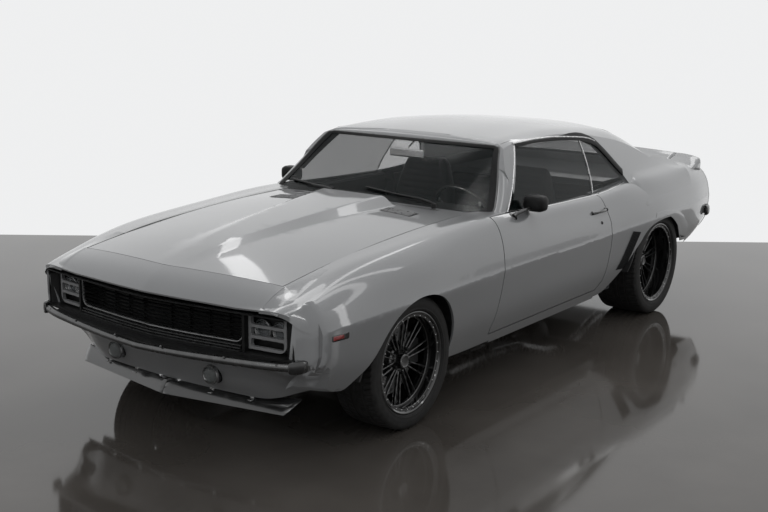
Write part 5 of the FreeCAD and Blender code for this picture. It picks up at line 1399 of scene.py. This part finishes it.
# Headlining, carpets and door cards
lines = []
for y in spread(-150, 1288, 40):
    half = min(cabin_x(y, roof_z(560, y) - 30) - 46, 560)
    lines.append([(x, y, roof_z(x, y) - 30) for x in spread(-half, half, 31)])
skinned(lines, (0, 0, -3)).piece("headlining", "leather_black", carpet, angle=40)
floor_cover = Form()
for x0, x1 in ((-0.70, -0.176), (0.176, 0.70)):
    floor_cover.block(x0, x1, -0.500, 0.762, 0.2866, 0.2925)
TUNNEL = [(-178, 287), (-123.5, 433), (-118, 435.5), (118, 435.5), (123.5, 433), (178, 287), (170, 287),
          (119.5, 430.5), (-119.5, 430.5), (-170, 287)]
floor_cover.loft([[mm(x, y, z) for x, z in TUNNEL] for y in spread(-485, 765, 12)])
floor_cover.slab([(-0.70, -0.683, 0.4735), (0.70, -0.683, 0.4735), (0.70, -0.497, 0.2935),
                  (-0.70, -0.497, 0.2935)],
                 (0, 0.003, 0.004))
floor_cover.piece("carpets", "leather_black", carpet, bevel=0.002)


def card_x(y, z):
    """Half-width of the door card's inner face, with the pleats of its middle panel."""
    out = 736.0 - 5.0 * eased((z - 360) / 60) * eased((846 - z) / 40)
    in_panel = eased((y + 470) / 30) * eased((440 - y) / 30) * eased((z - 440) / 20) * eased((700 - z) / 20)
    return out - in_panel * 3.0 * abs(math.sin(math.pi * (z - 440) / 40)) ** 0.5


for side, sign in SIDES:
    card = Form().loft([[mm(card_x(y, z), y, z) for z in spread(352, 846, 40)]
                        + [mm(737.0, y, 846), mm(737.0, y, 352)] for y in spread(-595, 545, 58)])
    rows = []
    for t in spread(0, 1, 19):
        y = mix(-250, 330, t)
        grow = math.sqrt(max(0.02, 1 - abs(2 * t - 1) ** 6))
        rows.append([mm(732 - out * grow, y, z + up * grow) for out, z, up in
                     ((0, 640, -26), (44, 636, -18), (50, 640, 0), (44, 640, 14), (0, 640, 18))])
    rest = Form().loft(rows)
    crank = disc_form(mm(730, -160, 560), (-1, 0, 0), 0.020, 0.012, 24, 0.002)
    crank.tube([mm(716, -160, 560), mm(712, -120, 590), mm(712, -90, 612)], 0.0045)
    crank.add(disc_form(mm(712, -90, 612), (-1, 0, 0), 0.011, 0.026, 18, 0.003))
    crank.add(disc_form(mm(730, 250, 720), (-1, 0, 0), 0.012, 0.014, 18, 0.002))
    crank.tube([mm(718, 250, 720), mm(716, 200, 722)], 0.005)
    made = sided([("door_card_", card, "leather_black", leather),
                  ("arm_rest_", rest, "leather_black", leather),
                  ("door_crank_", crank, "chrome_bright", chrome)], side, sign, body="door_" + side, angle=50)

# Dash: gauge pods, vents and radio face
pods, marks, needles, trims = Form(), Form(), Form(), Form()
for x in (0.270, 0.440):
    at = Vector((x, -0.362, 0.786))
    axis = Vector((0, 1, 0.16)).normalized()
    aside = Vector((1, 0, 0))
    up = axis.cross(aside).normalized()
    pods.grid([[at + axis * deep + (aside * squared(math.cos(a), 0.7) + up * squared(math.sin(a), 0.7)) * r
                for a in turns(40)] for deep, r in
               ((-0.020, 0.066), (0.012, 0.066), (0.016, 0.063), (0.015, 0.058), (0.004, 0.055),
                (0.002, 0.001))],
              closed=True)
    for k in range(13):
        a = math.radians(-210 + 20 * k)
        ray = aside * math.cos(a) - up * math.sin(a)
        wide = axis.cross(ray) * 0.0010
        a0 = at + axis * 0.0052 + ray * 0.048
        a1 = a0 - ray * (0.006 if k % 3 else 0.010)
        marks.slab([a0 - wide, a0 + wide, a1 + wide, a1 - wide], axis * 0.0006)
    pivot = at + axis * 0.007
    needles.tube([pivot, pivot + (aside * -0.6 + up * 0.55).normalized() * 0.042], [0.0016, 0.0006], 8)
    needles.add(disc_form(at + axis * 0.004, axis, 0.006, 0.005, 18, 0.001))
pods.piece("gauge_pods", "dash_plastic", dash_skin, angle=40)
marks.piece("gauge_marks", "chrome_bright", mark_white)
needles.piece("gauge_needles", "lens_red", lens_red, angle=30)
trims.slab([(-0.085, -0.3515, 0.742), (0.085, -0.3515, 0.742), (0.085, -0.3475, 0.782),
            (-0.085, -0.3475, 0.782)],
           (0, 0.004, 0))
for x in (-0.070, 0.070):
    trims.add(disc_form((x, -0.3465, 0.762), (0, 1, 0.1), 0.011, 0.014, 20, 0.001))
for x in (-0.60, -0.16, 0.60):
    for z in spread(0.765, 0.809, 5):
        trims.block(x - 0.042, x + 0.042, -0.3535, -0.3490, z, z + 0.0035)
trims.piece("dash_trims", "chrome_bright", trim_grey, bevel=0.0008)
PAD = [(-470, 865.5, 0), (-450, 872, 1), (-385, 871.5, 1), (-356, 866, 0.9), (-346, 853, 0.5), (-352, 840, 0),
       (-372, 845, 0), (-470, 860, 0)]
rows = []
for x in spread(-688, 688, 61):
    hump = 20 * eased((170 - abs(x - 355)) / 50)
    rows.append([mm(x, y, z + hump * share) for y, z, share in PAD])
Form().loft(rows).piece("dash_pad", "leather_black", leather, angle=50)
lever = Form().tube([(0, 0.02, 0.500), (0, 0.015, 0.560), (0, 0.005, 0.625)], [0.008, 0.0065, 0.006], 12)
lever.add(disc_form((0, 0.004, 0.622), (0, -0.1, 1), 0.021, 0.030, 28, 0.012))
lever.piece("shift_lever", "chrome_bright", chrome, angle=40)
boot = Form().loft([[(0.050 * k * squared(math.cos(a), 0.6), 0.02 + 0.070 * k * squared(math.sin(a), 0.6), z)
                     for a in turns(32)] for k, z in
                    ((1.0, 0.501), (0.8, 0.512), (0.66, 0.510), (0.5, 0.528), (0.4, 0.527), (0.2, 0.552))])
boot.piece("shift_boot", "leather_black", leather, angle=60)

# Steering wheel: thin metal rim with a dark grip, drilled spokes
STEER = Vector((0.355, -0.193, 0.814))
STEER_AXIS = Vector((0, 0.9, 0.436)).normalized()
STEER_UP = STEER_AXIS.cross(Vector((1, 0, 0))).normalized()


def steer_point(r, a, up):
    return STEER + (Vector((1, 0, 0)) * math.cos(a) - STEER_UP * math.sin(a)) * r + STEER_AXIS * up


def spoke_point(t, a, up=0.0):
    """A point at the share t of the spoke in the direction a, lifted along the wheel's axis."""
    return steer_point(mix(0.030, 0.170, t), a, mix(-0.050, -0.002, t ** 1.4) + up)


grip_rows, rim_rows, front_rows = [], [], []
for k in range(97):
    a = 2 * math.pi * k / 96
    thick = 0.0095 - 0.0008 * (k % 4 == 0)
    grip_rows.append([steer_point(0.1765 + thick * math.cos(b), a, thick * math.sin(b)) for b in turns(16)])
    for rows, way in ((rim_rows, 1), (front_rows, -1)):
        rows.append([steer_point(0.176 + u * way, a, v * way)
                     for u, v in ((-0.0028, 0.0085), (-0.0022, 0.0108), (0.0022, 0.0108), (0.0028, 0.0085))])
grip = Form().grid(grip_rows, closed=True)
grip.piece("steering_grip", "satin_black", leather, "steering_wheel", angle=60, replaces=["steering_wheel"])
band = Form().grid(rim_rows, closed=True).grid(front_rows, closed=True)
band.piece("steering_band", "chrome_bright", chrome, "steering_wheel", angle=40)
spokes, holes = Form(), Form()
for a in (math.radians(30), math.radians(150), math.radians(270)):
    aside = (steer_point(1, a + math.pi / 2, 0) - STEER).normalized()
    back = STEER_AXIS * 0.0035
    rows = []
    for t in spread(0, 1, 9):
        p = spoke_point(t, a)
        w = aside * (mix(0.017, 0.011, math.sin(math.pi * t * 0.5)) + 0.006 * (t > 0.9))
        rows.append([p - w, p + w, p + w - back, p - w - back])
    spokes.loft(rows)
    for t, r in ((0.34, 0.0075), (0.54, 0.0065), (0.72, 0.0055)):
        holes.add(disc_form(spoke_point(t, a, 0.0006), STEER_AXIS, r, 0.0004, 20))
spokes.piece("steering_spokes", "steel_bare", steel, "steering_wheel", bevel=0.0006)
holes.piece("steering_spoke_holes", "satin_black", black_matt, "steering_wheel")
hub = disc_form(steer_point(0, 0, -0.062), STEER_AXIS, 0.042, 0.018, 40, 0.004)
hub.piece("steering_hub", "satin_black", black_satin, "steering_wheel", bevel=0.001)
cap = disc_form(steer_point(0, 0, -0.044), STEER_AXIS, 0.024, 0.008, 36, 0.003)
cap.piece("steering_cap", "chrome_bright", trim_grey, "steering_wheel", bevel=0.001)
stalk = Form().tube([(0.330, -0.262, 0.781), (0.262, -0.258, 0.790), (0.225, -0.255, 0.794)],
                    [0.004, 0.004, 0.006])
stalk.piece("signal_stalk", "chrome_bright", chrome, angle=40)

# Floor, backdrop, light and camera
PALE = (0.86, 0.865, 0.87, 1)
FLOOR_EDGE, FLOOR_HALF_W = 2.86, 60
YAW, PITCH, ROLL = math.radians(36.2), math.radians(12.34), math.radians(0.59)
FOCAL_PIXELS, PHOTO_PIXELS, SENSOR = 1202.4, 768, 36.0
CAMERA_AT = (3.979, -5.901, 2.030)


def ground(name, y0, y1, material):
    """A floor from y0 to y1 as the camera sees it, on both sides of the car."""
    turn = Matrix.Rotation(YAW, 3, "Z")
    mesh = bpy.data.meshes.new(name)
    mesh.from_pydata([tuple(turn @ Vector((x, y, 0.0))) for x, y in
                      ((-FLOOR_HALF_W, y0), (FLOOR_HALF_W, y0), (FLOOR_HALF_W, y1), (-FLOOR_HALF_W, y1))],
                     [], [(0, 1, 2, 3)])
    mesh.materials.append(material)
    linked(name, mesh)


def stage():
    """A dark polished floor that ends at a straight line behind the car, and a pale one beyond it."""
    dark = shader("floor_dark", (0.034, 0.031, 0.029), 0.12, Specular_IOR_Level=0.42)
    cloud = add_texture(dark, NOISE, 1.1, detail=6.0)
    tint(dark, cloud, (0.052, 0.046, 0.040), (0.088, 0.079, 0.070))
    vary(dark, cloud, 0.04, 0.11)
    ground("floor", -30.0, FLOOR_EDGE, dark)
    ground("floor_beyond", FLOOR_EDGE, 60.0, shader("floor_pale", color_of(0.0), 0.9, Specular_IOR_Level=0.0,
                                                    Emission_Color=PALE, Emission_Strength=1.0))


def studio():
    """A world that is pale to the camera and in mirrors, and lights the rest a little cooler and weaker."""
    world = bpy.data.worlds.new("studio")
    bpy.context.scene.world = world
    world.use_nodes = True
    tree = world.node_tree
    tree.nodes.clear()
    out = tree.nodes.new("ShaderNodeOutputWorld")
    seen = add_node(tree, "ShaderNodeBackground", Color=PALE, Strength=1.0)
    light = add_node(tree, "ShaderNodeBackground", Color=(0.80, 0.82, 0.85, 1), Strength=0.74)
    path = tree.nodes.new("ShaderNodeLightPath")
    choose = tree.nodes.new("ShaderNodeMixShader")
    share = path.outputs["Is Camera Ray"]
    for ray in ("Is Transmission Ray", "Is Glossy Ray"):
        either = tree.nodes.new("ShaderNodeMath")
        either.operation = "MAXIMUM"
        tree.links.new(share, either.inputs[0])
        tree.links.new(path.outputs[ray], either.inputs[1])
        share = either.outputs[0]
    for source, target in ((share, choose.inputs["Fac"]), (light.outputs[0], choose.inputs[1]),
                           (seen.outputs[0], choose.inputs[2]), (choose.outputs[0], out.inputs["Surface"])):
        tree.links.new(source, target)


def lamp(name, size, place, target, power):
    data = bpy.data.lights.new(name, "AREA")
    data.shape = "RECTANGLE"
    data.size, data.size_y = size
    data.energy = power
    obj = linked(name, data)
    obj.location = place
    obj.rotation_euler = (Vector(target) - Vector(place)).to_track_quat("-Z", "Y").to_euler()


def camera():
    """The camera solved from the photograph: its place, turn, tilt, roll and focal length in pixels."""
    ahead = Vector((-math.sin(YAW) * math.cos(PITCH), math.cos(YAW) * math.cos(PITCH), -math.sin(PITCH)))
    right = Vector((math.cos(YAW), math.sin(YAW), 0))
    up = right.cross(ahead)
    right, up = (right * math.cos(ROLL) + up * math.sin(ROLL), up * math.cos(ROLL) - right * math.sin(ROLL))
    data = bpy.data.cameras.new("camera")
    data.sensor_width = SENSOR
    data.lens = FOCAL_PIXELS * SENSOR / PHOTO_PIXELS
    obj = linked("camera", data)
    obj.matrix_world = Matrix.Translation(CAMERA_AT) @ Matrix((right, up, -ahead)).transposed().to_4x4()
    bpy.context.scene.camera = obj


stage()
studio()
for k, x in enumerate((2.6, 1.15, -0.3, -1.75)):
    lamp("strip_%d" % k, (0.34, 5.0), (x, 0.6, 4.3), (x * 0.6, 0.2, 0.4), 12)
lamp("side_left", (0.4, 4.0), (5.2, 1.2, 2.6), (0.4, 0, 0.6), 18)
lamp("strip_nose", (4.0, 0.22), (0.9, -6.2, 3.6), (0, -1.6, 0.6), 22)
lamp("tail", (3.5, 0.5), (-0.4, 6.0, 4.6), (0, 1.6, 0.7), 12)
camera()
bpy.context.scene.view_settings.view_transform = "Standard"
